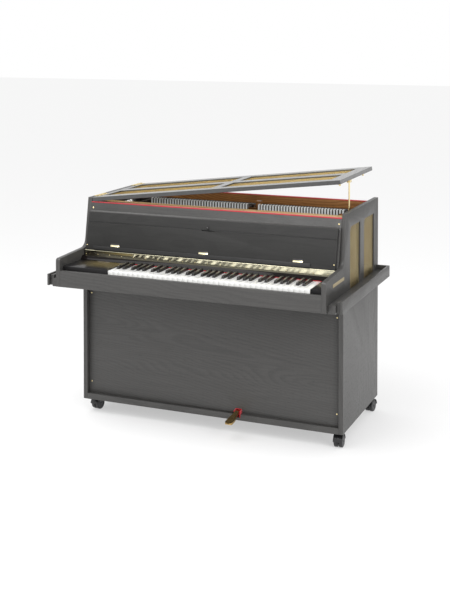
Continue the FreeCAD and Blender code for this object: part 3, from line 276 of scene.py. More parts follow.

# Fallboard, its lip and the music ledge
# The leaf that covers the keys stands open against the top rail; its inner face has a denser, darker
# satin than the case. The lip folds on it, and the narrow ledge lies flat until music needs it. The
# ledge's stain is taken darker still: painted shade along it.

LEAN = math.radians(13.2)
LEAF_FACE_Y, LEAF_FOOT_Z = -0.0275, 0.7575
leaf_tones = dict(turn=(LEAN, 0, 0), shine=0.42, gleam=0.32)
leaf_grain = stained_wood("stained fallboard", "x", (-0.04, 0.80, 0.02), (0.013, 0.0128, 0.0122),
                          (0.025, 0.0244, 0.0232), **leaf_tones)
lip_grain = stained_wood("stained lip", "x", (-0.04, 0.88, 0.03), (0.017, 0.0167, 0.0162), (0.032, 0.0314, 0.0304),
                         **leaf_tones)
# Painted shade: the ledge's stain is much darker than the leaf's and stands in for the shadow along the ledge.
ledge_grain_painted_shade = stained_wood("stained ledge, painted shade", "x", (0.02, 0.78, 0.02), (0.007, 0.007, 0.007), (0.014, 0.0136, 0.013),
                           turn=(LEAN, 0, 0), shine=0.30, gleam=0.5)
eased("fallboard", 0.0010, "fallboard", "black_wood", leaf_grain)
eased("fallboard_lip", 0.0010, "fallboard_lip", "black_wood", lip_grain)
eased("music_ledge", 0.0008, "music_ledge", "black_wood", ledge_grain_painted_shade)

# Nameboard and key blocks
# Polished black lacquer, bare of lettering: the nameboard's narrow front slopes back over the keys and
# mirrors them. The tops of the blocks at both ends of the keyboard are painted gold near the brass
# strip: a painted reflection of it.


def black_lacquer(name, colour=(0.0060, 0.0045, 0.0042, 1.0), rough=0.05, gleam=0.12, coat=0.0):
    """Polished lacquer: a dusty mirror that swells a little."""
    finish = Finish(name)
    dust = finish.noise(finish.place, 260.0, 2.0).step(0.62, 0.80)
    swell = finish.noise(finish.place, 9.0, 2.0)
    wiped = finish.noise(finish.place, 22.0, 3.0)
    return finish.surface(Base_Color=colour, Roughness=rough + wiped * 0.05 + dust * 0.06,
                          Normal=finish.relief(swell, 0.0004), Coat_Weight=coat, Coat_Roughness=0.03,
                          Specular_IOR_Level=gleam)


lacquer = black_lacquer("black lacquer")
eased("nameboard", 0.0009, "case", "gloss_black", lacquer)
BLOCK_TOP = 0.7186
finish = Finish("key block lacquer, painted reflection")
x, y, z = finish.split(finish.place)
# Painted reflection: gold is painted on the blocks' top faces near the brass strip, fading away from it.
up = z.step(BLOCK_TOP - 0.0003, BLOCK_TOP + 0.0003)
blotch = finish.noise(finish.place, 30.0, 3.0)
near_strip = y.step(-0.205, -0.085) * (1.0 - (x.math("ABSOLUTE") + blotch * 0.03).step(0.47, 0.60))
painted_strip_reflection = finish.blend(up * near_strip, (0.016, 0.0155, 0.016, 1.0), (0.135, 0.105, 0.042, 1.0))
block_skin = finish.surface(Base_Color=painted_strip_reflection, Roughness=0.34 - up * 0.16 + blotch * 0.06, Specular_IOR_Level=0.16,
                            Normal=finish.relief(blotch, 0.0002))
eased("key_blocks", 0.0010, "case", "gloss_black", block_skin)

# Bare and oiled wood inside the case
# The cover board behind the top rail is bare pale beech, the rail across the back is oiled brown
# mahogany, and the action's frame and the resonator box are the same brown wood.


def clear_wood(name, along, heart, dark, pale, shine, coarse=0.8, gleam=0.25):
    """Wood without stain: rings and streaks mix two browns, and the pores are a shade darker."""
    finish = Finish(name)
    late, streaks, pores = sawn(finish, along, heart, coarse=coarse)
    tone = (late * 0.55 + (streaks - 0.5) * 1.2 + 0.25).math("MAXIMUM", 0.0).math("MINIMUM", 1.0)
    body = finish.blend(tone, (*pale, 1.0), (*dark, 1.0))
    deep = tuple(0.45 * c for c in dark)
    colour = finish.blend(pores * 0.6, body, (*deep, 1.0))
    height = 1.0 - pores * 0.7 - late * 0.2
    return finish.surface(Base_Color=colour, Roughness=shine + pores * 0.15, Normal=finish.relief(height, 0.00012),
                          Specular_IOR_Level=gleam)


beech = clear_wood("bare beech", "x", (0.10, 0.93, 0.03), (0.52, 0.31, 0.115), (0.74, 0.50, 0.22), 0.50)
mahogany = clear_wood("oiled mahogany", "x", (0.54, 0.99, 0.02), (0.165, 0.068, 0.020), (0.345, 0.160, 0.052), 0.42)
COVER_BACK = 0.142
inner_rails = eased("inner_rails", 0.0010, "case", "bare_wood", beech, mahogany)
second_where(inner_rails, lambda middle: middle[:, 1] > COVER_BACK + 0.0005)
eased("resonator_box", 0.0010, "case", "brown_wood", mahogany)
FRAME_LEFT, FRAME_RIGHT = -0.445, 0.535
end_black = stained_wood("stained end boards", "z", (0.30, 0.20, 0.02), (0.012, 0.012, 0.012), (0.024, 0.024, 0.024),
                         shine=0.55, gleam=0.2)
action_frame = eased("action_frame", 0.0008, "case", "brown_wood", mahogany, end_black)
second_where(action_frame, lambda middle: (middle[:, 0] < FRAME_LEFT) | (middle[:, 0] > FRAME_RIGHT))
eased("damper_rail", 0.0008, "damper_rail", "brown_wood", mahogany)

# Felts
# Pressed wool felt, dyed red: strips under the lid, a strip over the backs of the keys, and the lining
# of the pedal's slot.


def felt(name, dark, pale):
    """Felt: clouds of tone, short crossed fibres, and a soft sheen."""
    finish = Finish(name)
    cloud = finish.noise(finish.place, 90.0, 3.0)
    fibre = finish.noise(finish.place, 1400.0, 4.0, 0.7)
    tone = (cloud * 0.7 + fibre * 0.5 - 0.1).math("MAXIMUM", 0.0).math("MINIMUM", 1.0)
    return finish.surface(Base_Color=finish.blend(tone, (*dark, 1.0), (*pale, 1.0)), Roughness=0.92,
                          Normal=finish.relief(fibre, 0.0006), Sheen_Weight=0.35, Sheen_Roughness=0.4)


red_felt = felt("red felt", (0.36, 0.004, 0.012), (0.62, 0.012, 0.028))
paint(nodes["red_felts"], red_felt)

# Lid
# A frame of two stiles, a cross rib, three rails and lattices of brass, hinged at its left end. Each
# member is a board of its own with its grain along it, butted and glued with a fine joint line.

LID_TILT = math.radians(6.8)
lid_joint = next(j for j in frame["joints"] if j["name"] == "lid_hinge")
hinge_x, hinge_z = lid_joint["pos_m"][0], lid_joint["pos_m"][2]
LID_DROP, LID_THICK = 0.0027, 0.018
LID_LEFT, LID_RIGHT, LID_FRONT, LID_BACK = 0.0015, 1.1925, 0.047, 0.556
STILE_LEFT, STILE_RIGHT, RIB, RAIL_FRONT, RAIL_MID, RAIL_BACK = 0.030, 0.057, 0.044, 0.062, 0.066, 0.062


def on_lid(points):
    """Turns points drawn on the closed lid, measured from its hinge, up to where the lid stands propped."""
    x, y, z = points[..., 0], points[..., 1], points[..., 2] - LID_DROP
    c, s = math.cos(LID_TILT), math.sin(LID_TILT)
    return np.stack([hinge_x + x * c - z * s, y, hinge_z + x * s + z * c], axis=-1)


def grid_mesh(name, points, wrap_u=False, wrap_v=False, smooth=True):
    """Mesh over a grid of points, one quad between each four, joined round where it wraps."""
    rows, columns = points.shape[:2]
    i = np.arange(rows if wrap_u else rows - 1)[:, None]
    j = np.arange(columns if wrap_v else columns - 1)[None, :]
    k, m = (i + 1) % rows, (j + 1) % columns
    quads = np.stack([i * columns + j, k * columns + j, k * columns + m, i * columns + m], axis=-1).reshape(-1, 4)
    mesh = bpy.data.meshes.new(name)
    mesh.from_pydata(points.reshape(-1, 3).tolist(), [], quads.tolist())
    mesh.polygons.foreach_set("use_smooth", np.full(len(quads), smooth))
    mesh.update()
    return mesh


def merged(name, meshes):
    """One mesh from several, with doubles merged, so that poles and seams close, and faces outwards."""
    whole = bmesh.new()
    for mesh in meshes:
        whole.from_mesh(mesh)
        bpy.data.meshes.remove(mesh)
    bmesh.ops.remove_doubles(whole, verts=whole.verts, dist=1e-7)
    bmesh.ops.recalc_face_normals(whole, faces=whole.faces)
    mesh = bpy.data.meshes.new(name)
    whole.to_mesh(mesh)
    whole.free()
    return mesh


def board(low, high, ease=0.0010):
    """A board between two corners as a grid: a rounded square carried round the middle and closed over.

    One parameter goes round the section in the first two axes, the other from the foot over the rounded
    edge to the head. The corner circle has radius ease.
    """
    low, high = np.array(low), np.array(high)
    quarter = np.linspace(0.0, math.pi / 2, 4)
    turn = np.concatenate([quarter + k * math.pi / 2 for k in range(4)])
    side_x = np.repeat([1.0, -1.0, -1.0, 1.0], 4)
    side_y = np.repeat([1.0, 1.0, -1.0, -1.0], 4)
    half = (high - low) / 2
    middle = (high + low) / 2
    rise = np.array([-1, -1, -0.87, -0.5, 0, 0, 0.5, 0.87, 1, 1])
    reach = np.array([-1, 0, 0.5, 0.87, 1, 1, 0.87, 0.5, 0, -1])
    ends = np.repeat([-1.0, 1.0], 5)
    ring = np.clip(reach, 0, 1)[:, None]
    inner = np.where(reach < 0, 0.0, 1.0)[:, None]
    x = inner * (side_x * (half[0] - ease) + np.cos(turn) * ease * ring)
    y = inner * (side_y * (half[1] - ease) + np.sin(turn) * ease * ring)
    z = (ends * (half[2] - ease) + rise * ease)[:, None] + 0 * x
    return np.stack([x, y, z], axis=-1) + middle


def boards(name, spans, place=lambda points: points, ease=0.0010):
    """Mesh of several boards, each given by its lowest and highest corner."""
    return merged(name, [grid_mesh(name, place(board(low, high, ease)), wrap_v=True, smooth=False)
                         for low, high in spans])


span_x = [(LID_LEFT + STILE_LEFT, -hinge_x - RIB / 2), (-hinge_x + RIB / 2, LID_RIGHT - STILE_RIGHT)]
deep = (LID_BACK - LID_FRONT - RAIL_FRONT - RAIL_MID - RAIL_BACK) / 2
span_y = [(LID_FRONT + RAIL_FRONT, LID_FRONT + RAIL_FRONT + deep), (LID_BACK - RAIL_BACK - deep, LID_BACK - RAIL_BACK)]
top, under = 0.0, -LID_THICK
uprights = [((LID_LEFT, LID_FRONT, under), (span_x[0][0], LID_BACK, top)),
            ((span_x[1][1], LID_FRONT, under), (LID_RIGHT, LID_BACK, top))]
rows = [(LID_FRONT, span_y[0][0]), (span_y[0][1], span_y[1][0]), (span_y[1][1], LID_BACK)]
lengths = [((span_x[0][0], front, under), (span_x[1][1], back, top)) for front, back in rows]
ribs = [((span_x[0][1], front, under), (span_x[1][0], back, top)) for front, back in span_y]
lid_tones = dict(dark=(0.026, 0.026, 0.026), pale=(0.054, 0.053, 0.052), shine=0.22, gleam=0.7, coat=0.4)
rail_grain = stained_wood("stained lid rails", "x", (0.30, 1.20, 0.03), turn=(0, LID_TILT, 0), **lid_tones)
stile_grain = stained_wood("stained lid stiles", "y", (1.02, 0.40, 0.02), **lid_tones)
lid_rails = as_piece("lid_rails", boards("lid_rails", lengths, on_lid), "lid", "black_wood", rail_grain)
as_piece("lid_stiles", boards("lid_stiles", uprights + ribs, on_lid), "lid", "black_wood", stile_grain)
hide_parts("lid")

# Brass lattices
# Expanded brass sheet in the lid and in the side windows: strands that zigzag and meet at every other
# bend, cut and pulled from one sheet, so each strand also lies a little askew in it.

LONG_WAY, STRAND_STEP, STRAND_WIDE, STRAND_THICK, STRAND_TILT = 0.028, 0.0063, 0.0023, 0.0009, 0.0003


def brass(name, colour=(0.74, 0.55, 0.22), rough=0.16, tarnish=0.35):
    """Brass with clouds of tarnish in its colour and roughness, and faint polishing marks."""
    finish = Finish(name)
    cloud = finish.noise(finish.place, 14.0, 4.0)
    spots = finish.noise(finish.place, 120.0, 3.0).step(0.55, 0.80)
    drawn_out = finish.node("ShaderNodeMapping", values={0: finish.place, 3: (12.0, 700.0, 700.0)})
    rubbed = finish.noise(drawn_out, 1.0, 2.0)
    dull = tuple(c * k for c, k in zip(colour, (0.62, 0.55, 0.50)))
    share = ((cloud.step(0.40, 0.75) + spots * 0.4) * tarnish).math("MINIMUM", 1.0)
    return finish.surface(Base_Color=finish.blend(share, (*colour, 1.0), (*dull, 1.0)), Metallic=1.0,
                          Roughness=rough + share * 0.22 + rubbed * 0.06, Normal=finish.relief(rubbed, 0.00003))


def lattice(name, long_range, short_range, place, inside=None):
    """Strands as a flat section carried along a zigzag: long way s, short way t = step * row +- swing.

    The swing is a clipped triangle wave, opposite on neighbouring rows, which so touch at its flats.
    place(s, t, h) puts the strand's points where the sheet is. inside keeps the points in a window.
    """
    l0, l1 = long_range
    t0, t1 = short_range
    count = max(2, int(round((t1 - t0) / STRAND_STEP)))
    step = (t1 - t0) / count
    turns = max(1, int(round((l1 - l0) / LONG_WAY)))
    phase = np.linspace(0.0, turns, turns * 6 + 1)
    s = l0 + (l1 - l0) * phase / turns
    wave = np.clip(1.5 * (4 * np.abs(phase % 1.0 - 0.5) - 1), -1, 1)
    row = np.arange(count)
    swing = (step - STRAND_WIDE) / 2
    sign = np.where(row % 2 == 0, 1.0, -1.0)
    middle = t0 + step * (row + 0.5)
    t = middle[:, None] + sign[:, None] * wave[None, :] * swing
    corners = [(-1, -1), (1, -1), (1, 1), (-1, 1)]
    rings = []
    for across, over in corners:
        skew = across * STRAND_WIDE / 2
        height = over * STRAND_THICK / 2 - across * STRAND_TILT
        rings.append(place(np.broadcast_to(s, t.shape), t + skew, np.full(t.shape, height)))
    grid = np.stack(rings, axis=2)
    meshes = []
    for k in range(count):
        section = grid[k]
        if inside is not None:
            section = section[inside(section)]
        if len(section) < 2:
            continue
        foot = np.repeat(section[:1].mean(axis=1, keepdims=True), 4, axis=1)
        head = np.repeat(section[-1:].mean(axis=1, keepdims=True), 4, axis=1)
        meshes.append(grid_mesh(name, np.concatenate([foot, section, head]), wrap_v=True, smooth=False))
    return meshes


lattice_brass = brass("lattice brass", (0.62, 0.50, 0.25), 0.30, 0.55)
MESH_DEEP = 0.0066


def in_lid(s, t, h):
    return on_lid(np.stack([s, t, h - MESH_DEEP], axis=-1))


lid_lattices = []
for xs in span_x:
    for ys in span_y:
        lid_lattices += lattice("lid_lattice", xs, ys, in_lid)
lid_brass = as_piece("lid_lattice", merged("lid_lattice", lid_lattices), "lid", "brass_mesh", lattice_brass)
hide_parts("lid_mesh")

WINDOW_LOW, WINDOW_HIGH, WINDOW_ROUND, WINDOW_SHEET = 0.640, 0.922, 0.025, 0.6104
WINDOWS = ((0.100, 0.257), (0.319, 0.487))
side_lattices = []
for sign in (-1, 1):
    for front, back in WINDOWS:
        def place(s, t, h):
            return np.stack([sign * (WINDOW_SHEET + h), s, t], axis=-1)

        def inside(section):
            y, z = section[:, 0, 1], section[:, 0, 2]
            dy = np.maximum(front + WINDOW_ROUND - y, 0)
            dz = np.maximum(z - (WINDOW_HIGH - WINDOW_ROUND), 0)
            return dy * dy + dz * dz <= (WINDOW_ROUND + 0.001) ** 2

        side_lattices += lattice("side_lattice", (front, back), (WINDOW_LOW, WINDOW_HIGH), place, inside)
window_brass = as_piece("side_lattice", merged("side_lattice", side_lattices), "case", "brass_mesh", lattice_brass)
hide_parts("side_grilles")

# Brass strip, prop rod, hinges and pedal
# Polished brass: the long hinge strip that mirrors the keys, the rod that props the lid, the lid's two
# hinges, the ledge's three butts, and the pedal. Above a line up the leaf, the butts and the lip's pin
# are near black.

strip_brass = brass("strip brass", (1.0, 0.95, 0.70), 0.13, 0.08)
bright_brass = brass("bright brass", (0.86, 0.72, 0.40), 0.16, 0.25)
case_hinges = eased("case_hinges", 0.0004, "case", "brass", strip_brass, bright_brass)
second_where(case_hinges, lambda middle: middle[:, 2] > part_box("nameboard")[1][2] + 0.1)
# Above BLACK_FROM up the leaf, the butts and the lip's pin are coloured near black and rougher.
BLACK_FROM = 0.0310
finish = Finish("butt brass, dark above a line")
x, y, z = finish.split(finish.place)
up_leaf = (y - LEAF_FACE_Y) * math.sin(LEAN) + (z - LEAF_FOOT_Z) * math.cos(LEAN)
dark_above_line = up_leaf.step(BLACK_FROM - 0.0002, BLACK_FROM + 0.0002)
cloud = finish.noise(finish.place, 40.0, 3.0)
butt_brass = finish.surface(Base_Color=finish.blend(dark_above_line, (0.95, 0.88, 0.60, 1.0), (0.020, 0.019, 0.019, 1.0)),
                            Metallic=1.0 - dark_above_line, Roughness=0.16 + dark_above_line * 0.26 + cloud * 0.06)
eased("leaf_hinges", 0.0003, "fallboard", "brass", butt_brass)
eased("lid_fittings", 0.0003, "lid", "brass", bright_brass)
eased("prop_rod", 0.0003, "prop_rod", "brass", bright_brass)
eased("pedal", 0.0022, "pedal", "brass", brass("pedal brass", (0.52, 0.36, 0.15), 0.22, 0.55), steps=3)

# Screws
# Oval-headed brass wood screws, turned with a low crown and a straight slot.


def screw_head(centre, normal, radius, turn=0.6):
    """A crown over a polar grid: height falls with the square of the radius, and sinks inside the slot."""
    normal = np.array(normal, float)
    normal = normal / np.linalg.norm(normal)
    helper = np.array([0.0, 0.0, 1.0]) if abs(normal[2]) < 0.9 else np.array([1.0, 0.0, 0.0])
    right = np.cross(helper, normal)
    right = right / np.linalg.norm(right)
    up = np.cross(normal, right)
    angle = np.linspace(0, 2 * math.pi, 24, endpoint=False)
    r = np.array([0.0, 0.12, 0.3, 0.5, 0.7, 0.85, 0.95, 1.0, 1.0, 0.0])[:, None] * radius
    crown = np.array([0.36, 0.355, 0.34, 0.30, 0.22, 0.14, 0.06, 0.0, -0.12, -0.12])[:, None] * radius
    a, b = r * np.cos(angle), r * np.sin(angle)
    slot_across = np.abs(a * math.sin(turn) - b * math.cos(turn))
    sunk = np.where((slot_across < 0.14 * radius) & (crown > 0.05 * radius), 0.22 * radius, 0.0)
    h = crown - sunk
    points = np.array(centre) + a[..., None] * right + b[..., None] * up + h[..., None] * normal
    return grid_mesh("screw", points, wrap_v=True)


def screws(name, body, heads):
    """One piece of screw heads, each (centre, normal, radius)."""
    rng = np.random.default_rng(len(heads) + 7)
    made = [screw_head(*head, turn=rng.uniform(0, math.pi)) for head in heads]
    return as_piece(name, merged(name, made), body, "brass", bright_brass)


PANEL_SCREW, BACK_SCREW, LEAF_SCREW, PLATE_PIN = 0.0037, 0.0045, 0.0030, 0.0013
panel_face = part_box("front_panel")[0][1]
heads = [((x, panel_face, z), (0, -1, 0), PANEL_SCREW) for x in (-0.585, 0.585) for z in (0.144, 0.552)]
screws("panel_screws", "case", heads)
RAIL_SLOPE = (0, -38, 8)
heads = [((x, 0.0404, 0.941), RAIL_SLOPE, PANEL_SCREW) for x in (-0.585, 0.585)]
screws("rail_screws", "case", heads)
heads = [((x, -0.0275, 0.7405), (0, -1, 0), 0.0022) for x in np.arange(-0.586, 0.590, 0.0601)]
screws("strip_screws", "case", heads)
HINGE_LEAF = 0.0016
side_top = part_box("side_left")[1][2]
hinge_rows = [np.linspace(y + 0.012, y + 0.072, 3) for y in (0.095, 0.470)]
heads = [((hinge_x - 0.010, y, side_top + HINGE_LEAF), (0, 0, 1), LEAF_SCREW) for row in hinge_rows for y in row]
screws("hinge_screws", "case", heads)
back_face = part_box("back_panel")[1][1]
heads = [((x, back_face, z), (0, 1, 0), BACK_SCREW)
         for x in np.linspace(-0.575, 0.575, 5) for z in (0.124, 0.514, 0.902)]
screws("back_screws", "case", heads)
heads = [((x, 0.110, 0.962), (0, 0, 1), BACK_SCREW) for x in (-0.56, -0.19, 0.19, 0.56)]
screws("cover_screws", "case", heads)

# Trim of the lid
# The screws of its hinges, and a turned collar round each of the two pins that locate it when closed.


def turned(profile, base, axis, count=28):
    """A turned piece: the profile's (radius, height) pairs carried round an axis from a base point."""
    axis = np.array(axis, float)
    axis = axis / np.linalg.norm(axis)
    helper = np.array([0.0, 1.0, 0.0]) if abs(axis[1]) < 0.9 else np.array([1.0, 0.0, 0.0])
    right = np.cross(axis, helper)
    right = right / np.linalg.norm(right)
    front = np.cross(axis, right)
    angle = np.linspace(0, 2 * math.pi, count, endpoint=False)
    r, h = np.array(profile).T
    spokes = np.cos(angle)[:, None] * right + np.sin(angle)[:, None] * front
    points = np.array(base) + r[:, None, None] * spokes[None] + h[:, None, None] * axis
    return grid_mesh("turned", points, wrap_v=True)


leaf_points = [on_lid(np.array([0.011, y, HINGE_LEAF])) for row in hinge_rows for y in row]
lid_up = (-math.sin(LID_TILT), 0, math.cos(LID_TILT))
screws("leaf_screws", "lid", [(point, lid_up, LEAF_SCREW) for point in leaf_points])
COLLAR = [(0, 0.0001), (0.0062, 0.0001), (0.0062, 0.0008), (0.0054, 0.0014), (0.0043, 0.0014), (0.0043, 0.0001)]
collars = [turned(COLLAR, on_lid(np.array([LID_LEFT + 1.180, y, -LID_THICK])), tuple(-v for v in lid_up))
           for y in (0.060, 0.430)]
as_piece("lid_pins", merged("lid_pins", collars), "lid", "brass", bright_brass)

# Trim of the fallboard
# Screws in the three butts over the music ledge, a bright pin at each lower end of the leaf, and a
# small turned knob where leaf and lip meet.

PIVOT = np.array(next(j["pos_m"] for j in frame["joints"] if j["name"] == "fallboard_fold"))


def on_leaf(points):
    """Turns points given as (x, out from the leaf's inner face, up the leaf) to where the leaf leans."""
    x, out, up = points[..., 0], points[..., 1], points[..., 2]
    c, s = math.cos(LEAN), math.sin(LEAN)
    return np.stack([x, PIVOT[1] - out * c + up * s, PIVOT[2] + out * s + up * c], axis=-1)


out_of_leaf = (0, -math.cos(LEAN), math.sin(LEAN))
heads = [(on_leaf(np.array([x, 0.0013, 0.028])), out_of_leaf, 0.0016)
         for x in (-0.454, -0.430, -0.021, 0.004, 0.411, 0.438)]
screws("butt_screws", "fallboard", heads)
heads = [(on_leaf(np.array([x, 0.0002, 0.024])), out_of_leaf, 0.0026) for x in (-0.583, 0.583)]
screws("leaf_pins", "fallboard", heads)
KNOB = [(0, 0), (0.0030, 0), (0.0028, 0.003), (0.0042, 0.0055), (0.0055, 0.008), (0.0052, 0.0105), (0.003, 0.012),
        (0, 0.0123)]
knob = turned(KNOB, on_leaf(np.array([0.004, 0.0, 0.1365])), out_of_leaf)
as_piece("lip_knob", merged("lip_knob", [knob]), "fallboard_lip", "gloss_black",
         black_lacquer("knob lacquer", gleam=0.5, coat=0.5))

# Blank plate
# A small brass plate let on to the outside of the right arm, left without writing, with four pins.

PLATE_PROUD, PLATE_SUNK = 0.0010, 0.0002
arm_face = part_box("side_right")[1][0]
plate_span = ((arm_face - PLATE_SUNK, -0.146, 0.715), (arm_face + PLATE_PROUD, 0.010, 0.729))
plate = boards("blank_plate", [plate_span], ease=0.0005)
as_piece("blank_plate", plate, "case", "brass", brass("plate brass", (0.50, 0.42, 0.27), 0.42, 0.5))
heads = [((arm_face + PLATE_PROUD, y, z), (1, 0, 0), PLATE_PIN) for y in (-0.142, 0.006) for z in (0.7185, 0.7255)]
screws("plate_pins", "case", heads)

# Keys
# Limewood levers. The white keys are covered with a 3 mm white top and front, the black keys are
# stained ebony, rubbed to a soft gloss; the levers behind the nameboard stay bare.

KEY_TOP, KEY_FRONT, BARE_FROM = 0.716, -0.211, -0.044


def key_cover(name, covered):
    finish = Finish(name)
    x, y, z = finish.split(finish.place)
    lime = finish.blend(finish.noise(finish.join(x * 260.0, y * 9.0, z * 260.0), 1.0, 3.0),
                        (0.50, 0.34, 0.17, 1.0), (0.66, 0.50, 0.29, 1.0))
    front = 1.0 - y.step(BARE_FROM - 0.0005, BARE_FROM + 0.0005)
    if covered:
        shell = (z.step(KEY_TOP - 0.0034, KEY_TOP - 0.0030) + (1.0 - y.step(KEY_FRONT + 0.0022, KEY_FRONT + 0.0026)))
        share = shell.math("MINIMUM", 1.0) * front
        cloud = finish.noise(finish.place, 40.0, 3.0)
        skin = finish.blend(cloud, (0.86, 0.86, 0.84, 1.0), (0.91, 0.91, 0.89, 1.0))
        rough = 0.16 + (1.0 - share) * 0.42 + cloud * 0.04
        coat = share * 0.35
        height = cloud
        depth = 0.00008
    else:
        share = front
        hair = finish.noise(finish.join(x * 1500.0, y * 40.0, z * 1500.0), 1.0, 3.0, 0.6)
        skin = finish.blend(hair, (0.006, 0.006, 0.0065, 1.0), (0.020, 0.018, 0.017, 1.0))
        rough = 0.24 + hair * 0.10 + (1.0 - share) * 0.35
        coat = share * 0.25
        height = hair
        depth = 0.00005
    return finish.surface(Base_Color=finish.blend(share, lime, skin), Roughness=rough, Coat_Weight=coat,
                          Coat_Roughness=0.08, Normal=finish.relief(height, depth))


white_cover = key_cover("white key cover", True)
black_cover = key_cover("black key stain", False)
NOTES = ("c", "c_sharp", "d", "d_sharp", "e", "f", "f_sharp", "g", "g_sharp", "a", "a_sharp", "b")
for note in NOTES:
    raised = note.endswith("sharp")
    eased("key_" + note, 0.0008 if raised else 0.0004, "key_" + note, "key_black" if raised else "key_white",
          black_cover if raised else white_cover)

# Hammers
# Heads of pressed white wool felt on dark stained maple shanks and butts, which turn on a steel rod.

NOTE_PITCH, FIRST_NOTE, FIRST_HIGH, BREAK = 0.0138, -0.432, 0.112, 0.088
HEAD_BACK = 0.3385
finish = Finish("hammer felt and maple")
x, y, z = finish.split(finish.place)
is_head = 1.0 - y.step(HEAD_BACK - 0.0003, HEAD_BACK + 0.0003)
high_group = x.step(BREAK - 0.001, BREAK + 0.001)
note_at = (x - FIRST_NOTE - high_group * (FIRST_HIGH - FIRST_NOTE)) * (1.0 / NOTE_PITCH)
off_middle = (note_at.math("FRACT") - 0.5).math("ABSOLUTE")
# Painted shade: each felt head is painted dark towards its sides, where it meets its neighbours.
wear_and_painted_shade = off_middle.step(0.22, 0.31)
fibre = finish.noise(finish.place, 1300.0, 4.0, 0.7)
cloud = finish.noise(finish.place, 70.0, 3.0)
wool = finish.blend(fibre * 0.6 + cloud * 0.4, (0.68, 0.71, 0.72, 1.0), (0.90, 0.92, 0.92, 1.0))
maple = finish.blend(finish.noise(finish.join(x * 300.0, y * 12.0, z * 300.0), 1.0, 3.0), (0.020, 0.016, 0.013, 1.0),
                     (0.045, 0.036, 0.028, 1.0))
shaded_wool = finish.blend(wear_and_painted_shade, wool, (0.14, 0.13, 0.12, 1.0))
hammer_skin = finish.surface(Base_Color=finish.blend(is_head, maple, shaded_wool), Roughness=0.45 + is_head * 0.45,
                             Normal=finish.relief(fibre * is_head, 0.0005))
for note in NOTES:
    paint(nodes["hammer_" + note], hammer_skin)

# Sound plates and trap work
# Plates of blued and brushed steel over the resonator box, and the steel lever under them.


def brushed(name, colour, along, rough):
    finish = Finish(name)
    scales = [900.0, 900.0, 900.0]
    scales["xyz".index(along)] = 18.0
    lines = finish.noise(finish.node("ShaderNodeMapping", values={0: finish.place, 3: tuple(scales)}), 1.0, 3.0)
    cloud = finish.noise(finish.place, 18.0, 3.0)
    dull = tuple(c * 0.7 for c in colour)
    return finish.surface(Base_Color=finish.blend(cloud, (*dull, 1.0), (*colour, 1.0)), Metallic=1.0,
                          Roughness=rough + lines * 0.16, Normal=finish.relief(lines, 0.00004))


eased("sound_plates", 0.0004, "case", "steel", brushed("plate steel", (0.16, 0.17, 0.19), "y", 0.38), steps=1)
eased("trap_lever", 0.0010, "trap_lever", "steel", brushed("lever steel", (0.40, 0.41, 0.43), "x", 0.34))

# Casters
# Twin-wheel furniture casters: a moulded black hood and stem, and two grey-black tyres on moulded
# discs with a rim, ribs and a hub.


def moulded(name, colour, rough):
    """Moulded plastic: a fine even texture, slightly paler where it is rubbed."""
    finish = Finish(name)
    grain = finish.noise(finish.place, 900.0, 2.0)
    wear_and_painted_shade = finish.noise(finish.place, 45.0, 3.0).step(0.5, 0.8)
    pale = tuple(c * 1.9 for c in colour)
    return finish.surface(Base_Color=finish.blend(wear_and_painted_shade * 0.6, (*colour, 1.0), (*pale, 1.0)),
                          Roughness=rough + grain * 0.12, Normal=finish.relief(grain, 0.00012))


hood_plastic = moulded("caster hood", (0.012, 0.012, 0.013), 0.20)
tyre = moulded("caster tyre", (0.018, 0.018, 0.019), 0.34)
disc_plastic = moulded("caster disc", (0.030, 0.030, 0.032), 0.30)
DISC = [(0.0, 0.0024), (0.0035, 0.0024), (0.0045, 0.0012), (0.0060, 0.0006), (0.0150, 0.0004), (0.0170, 0.0014),
        (0.0205, 0.0016), (0.0215, 0.0), (0.0215, -0.002), (0.0, -0.002)]
for where in ("front_left", "front_right", "back_left", "back_right"):
    eased("caster_" + where, 0.0007, "caster_" + where, "hood_black", hood_plastic)
    eased("wheels_" + where, 0.0004, "wheels_" + where, "wheel_rubber", tyre)
    joint = next(j for j in frame["joints"] if j["name"] == "roll_" + where)
    centre, axle = np.array(joint["pos_m"]), np.array(joint["axis"])
    discs = [turned(DISC, centre + sign * axle * 0.018, sign * axle) for sign in (-1, 1)]
    as_piece("discs_" + where, merged("discs_" + where, discs), "wheels_" + where, "hood_black", disc_plastic)

# Studio
# A plain white floor that keeps a soft shadow, a white room that metal and lacquer mirror, and two
# large soft lamps. The camera stands where the photographer stood.


def studio_floor():
    finish = Finish("studio floor")
    rays = finish.node("ShaderNodeLightPath").socket.node.outputs
    seen = Wire(finish, rays["Is Camera Ray"]).math("MAXIMUM", Wire(finish, rays["Is Glossy Ray"]))
    paper = finish.node("ShaderNodeBsdfDiffuse", values={"Color": (0.84, 0.84, 0.84, 1.0)}, output="BSDF")
    glow = finish.node("ShaderNodeEmission", values={"Color": (1, 1, 1, 1), "Strength": 1.1}, output="Emission")
    finish.node_out(finish.node("ShaderNodeMixShader", values=[seen * 0.42, paper, glow]))
    return finish.material


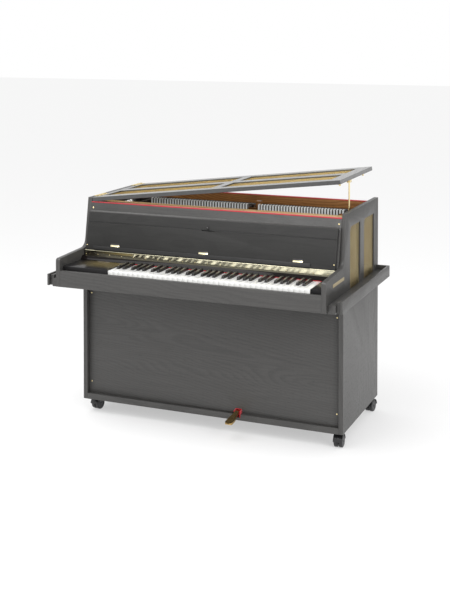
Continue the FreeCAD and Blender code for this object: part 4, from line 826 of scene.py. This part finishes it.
reach = 30.0
floor_mesh = bpy.data.meshes.new("floor")
floor_mesh.from_pydata([(-reach, -reach, 0), (reach, -reach, 0), (reach, reach, 0), (-reach, reach, 0)], [],
                       [(0, 1, 2, 3)])
floor = bpy.data.objects.new("floor", floor_mesh)
bpy.context.scene.collection.objects.link(floor)
paint(floor, studio_floor())
floor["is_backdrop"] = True

world = bpy.data.worlds.new("studio")
world.use_nodes = True
bpy.context.scene.world = world
room = world.node_tree
background = room.nodes["Background"]
paths = room.nodes.new("ShaderNodeLightPath")
level = room.nodes.new("ShaderNodeMapRange")
either = room.nodes.new("ShaderNodeMath")
either.operation = "MAXIMUM"
room.links.new(paths.outputs["Is Camera Ray"], either.inputs[0])
room.links.new(paths.outputs["Is Glossy Ray"], either.inputs[1])
room.links.new(either.outputs[0], level.inputs["Value"])
level.inputs["To Min"].default_value = 0.95
level.inputs["To Max"].default_value = 1.0
room.links.new(level.outputs["Result"], background.inputs["Strength"])
background.inputs["Color"].default_value = (1, 1, 1, 1)


def lamp(name, place, aim, wide, power):
    light = bpy.data.lights.new(name, "AREA")
    light.shape = "RECTANGLE"
    light.size, light.size_y = wide
    light.energy = power
    made = bpy.data.objects.new(name, light)
    bpy.context.scene.collection.objects.link(made)
    made.location = place
    towards = np.array(aim) - np.array(place)
    made.rotation_euler = (math.acos(-towards[2] / np.linalg.norm(towards)), 0,
                           math.atan2(towards[1], towards[0]) - math.pi / 2)
    return made


lamp("overhead softbox", (-0.8, -1.2, 3.4), (0, 0.2, 0.7), (3.0, 2.2), 85)
lamp("right softbox", (3.2, -2.4, 2.2), (0, 0.1, 0.6), (2.0, 2.0), 60)

PHOTO_HEIGHT, FOCAL, CENTRE_Y = 600.0, 1121.3, 61.7
LOOK_DOWN, TURN_RIGHT = 1.68, 22.56
camera_data = bpy.data.cameras.new("camera")
camera_data.sensor_fit = "VERTICAL"
camera_data.sensor_height = 24.0
camera_data.lens = FOCAL / PHOTO_HEIGHT * camera_data.sensor_height
camera_data.shift_y = -(PHOTO_HEIGHT / 2 - CENTRE_Y) / PHOTO_HEIGHT
camera_data.clip_end = 100.0
camera = bpy.data.objects.new("camera", camera_data)
bpy.context.scene.collection.objects.link(camera)
camera.location = (1.938, -4.460, 1.760)
camera.rotation_euler = (math.radians(90 - LOOK_DOWN), 0, math.radians(TURN_RIGHT))
bpy.context.scene.camera = camera
bpy.context.scene.view_settings.view_transform = "Standard"

corners = {"cad": cad_box, "visual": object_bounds()}
{name: [[float(v) for v in corner] for corner in box] for name, box in corners.items()}
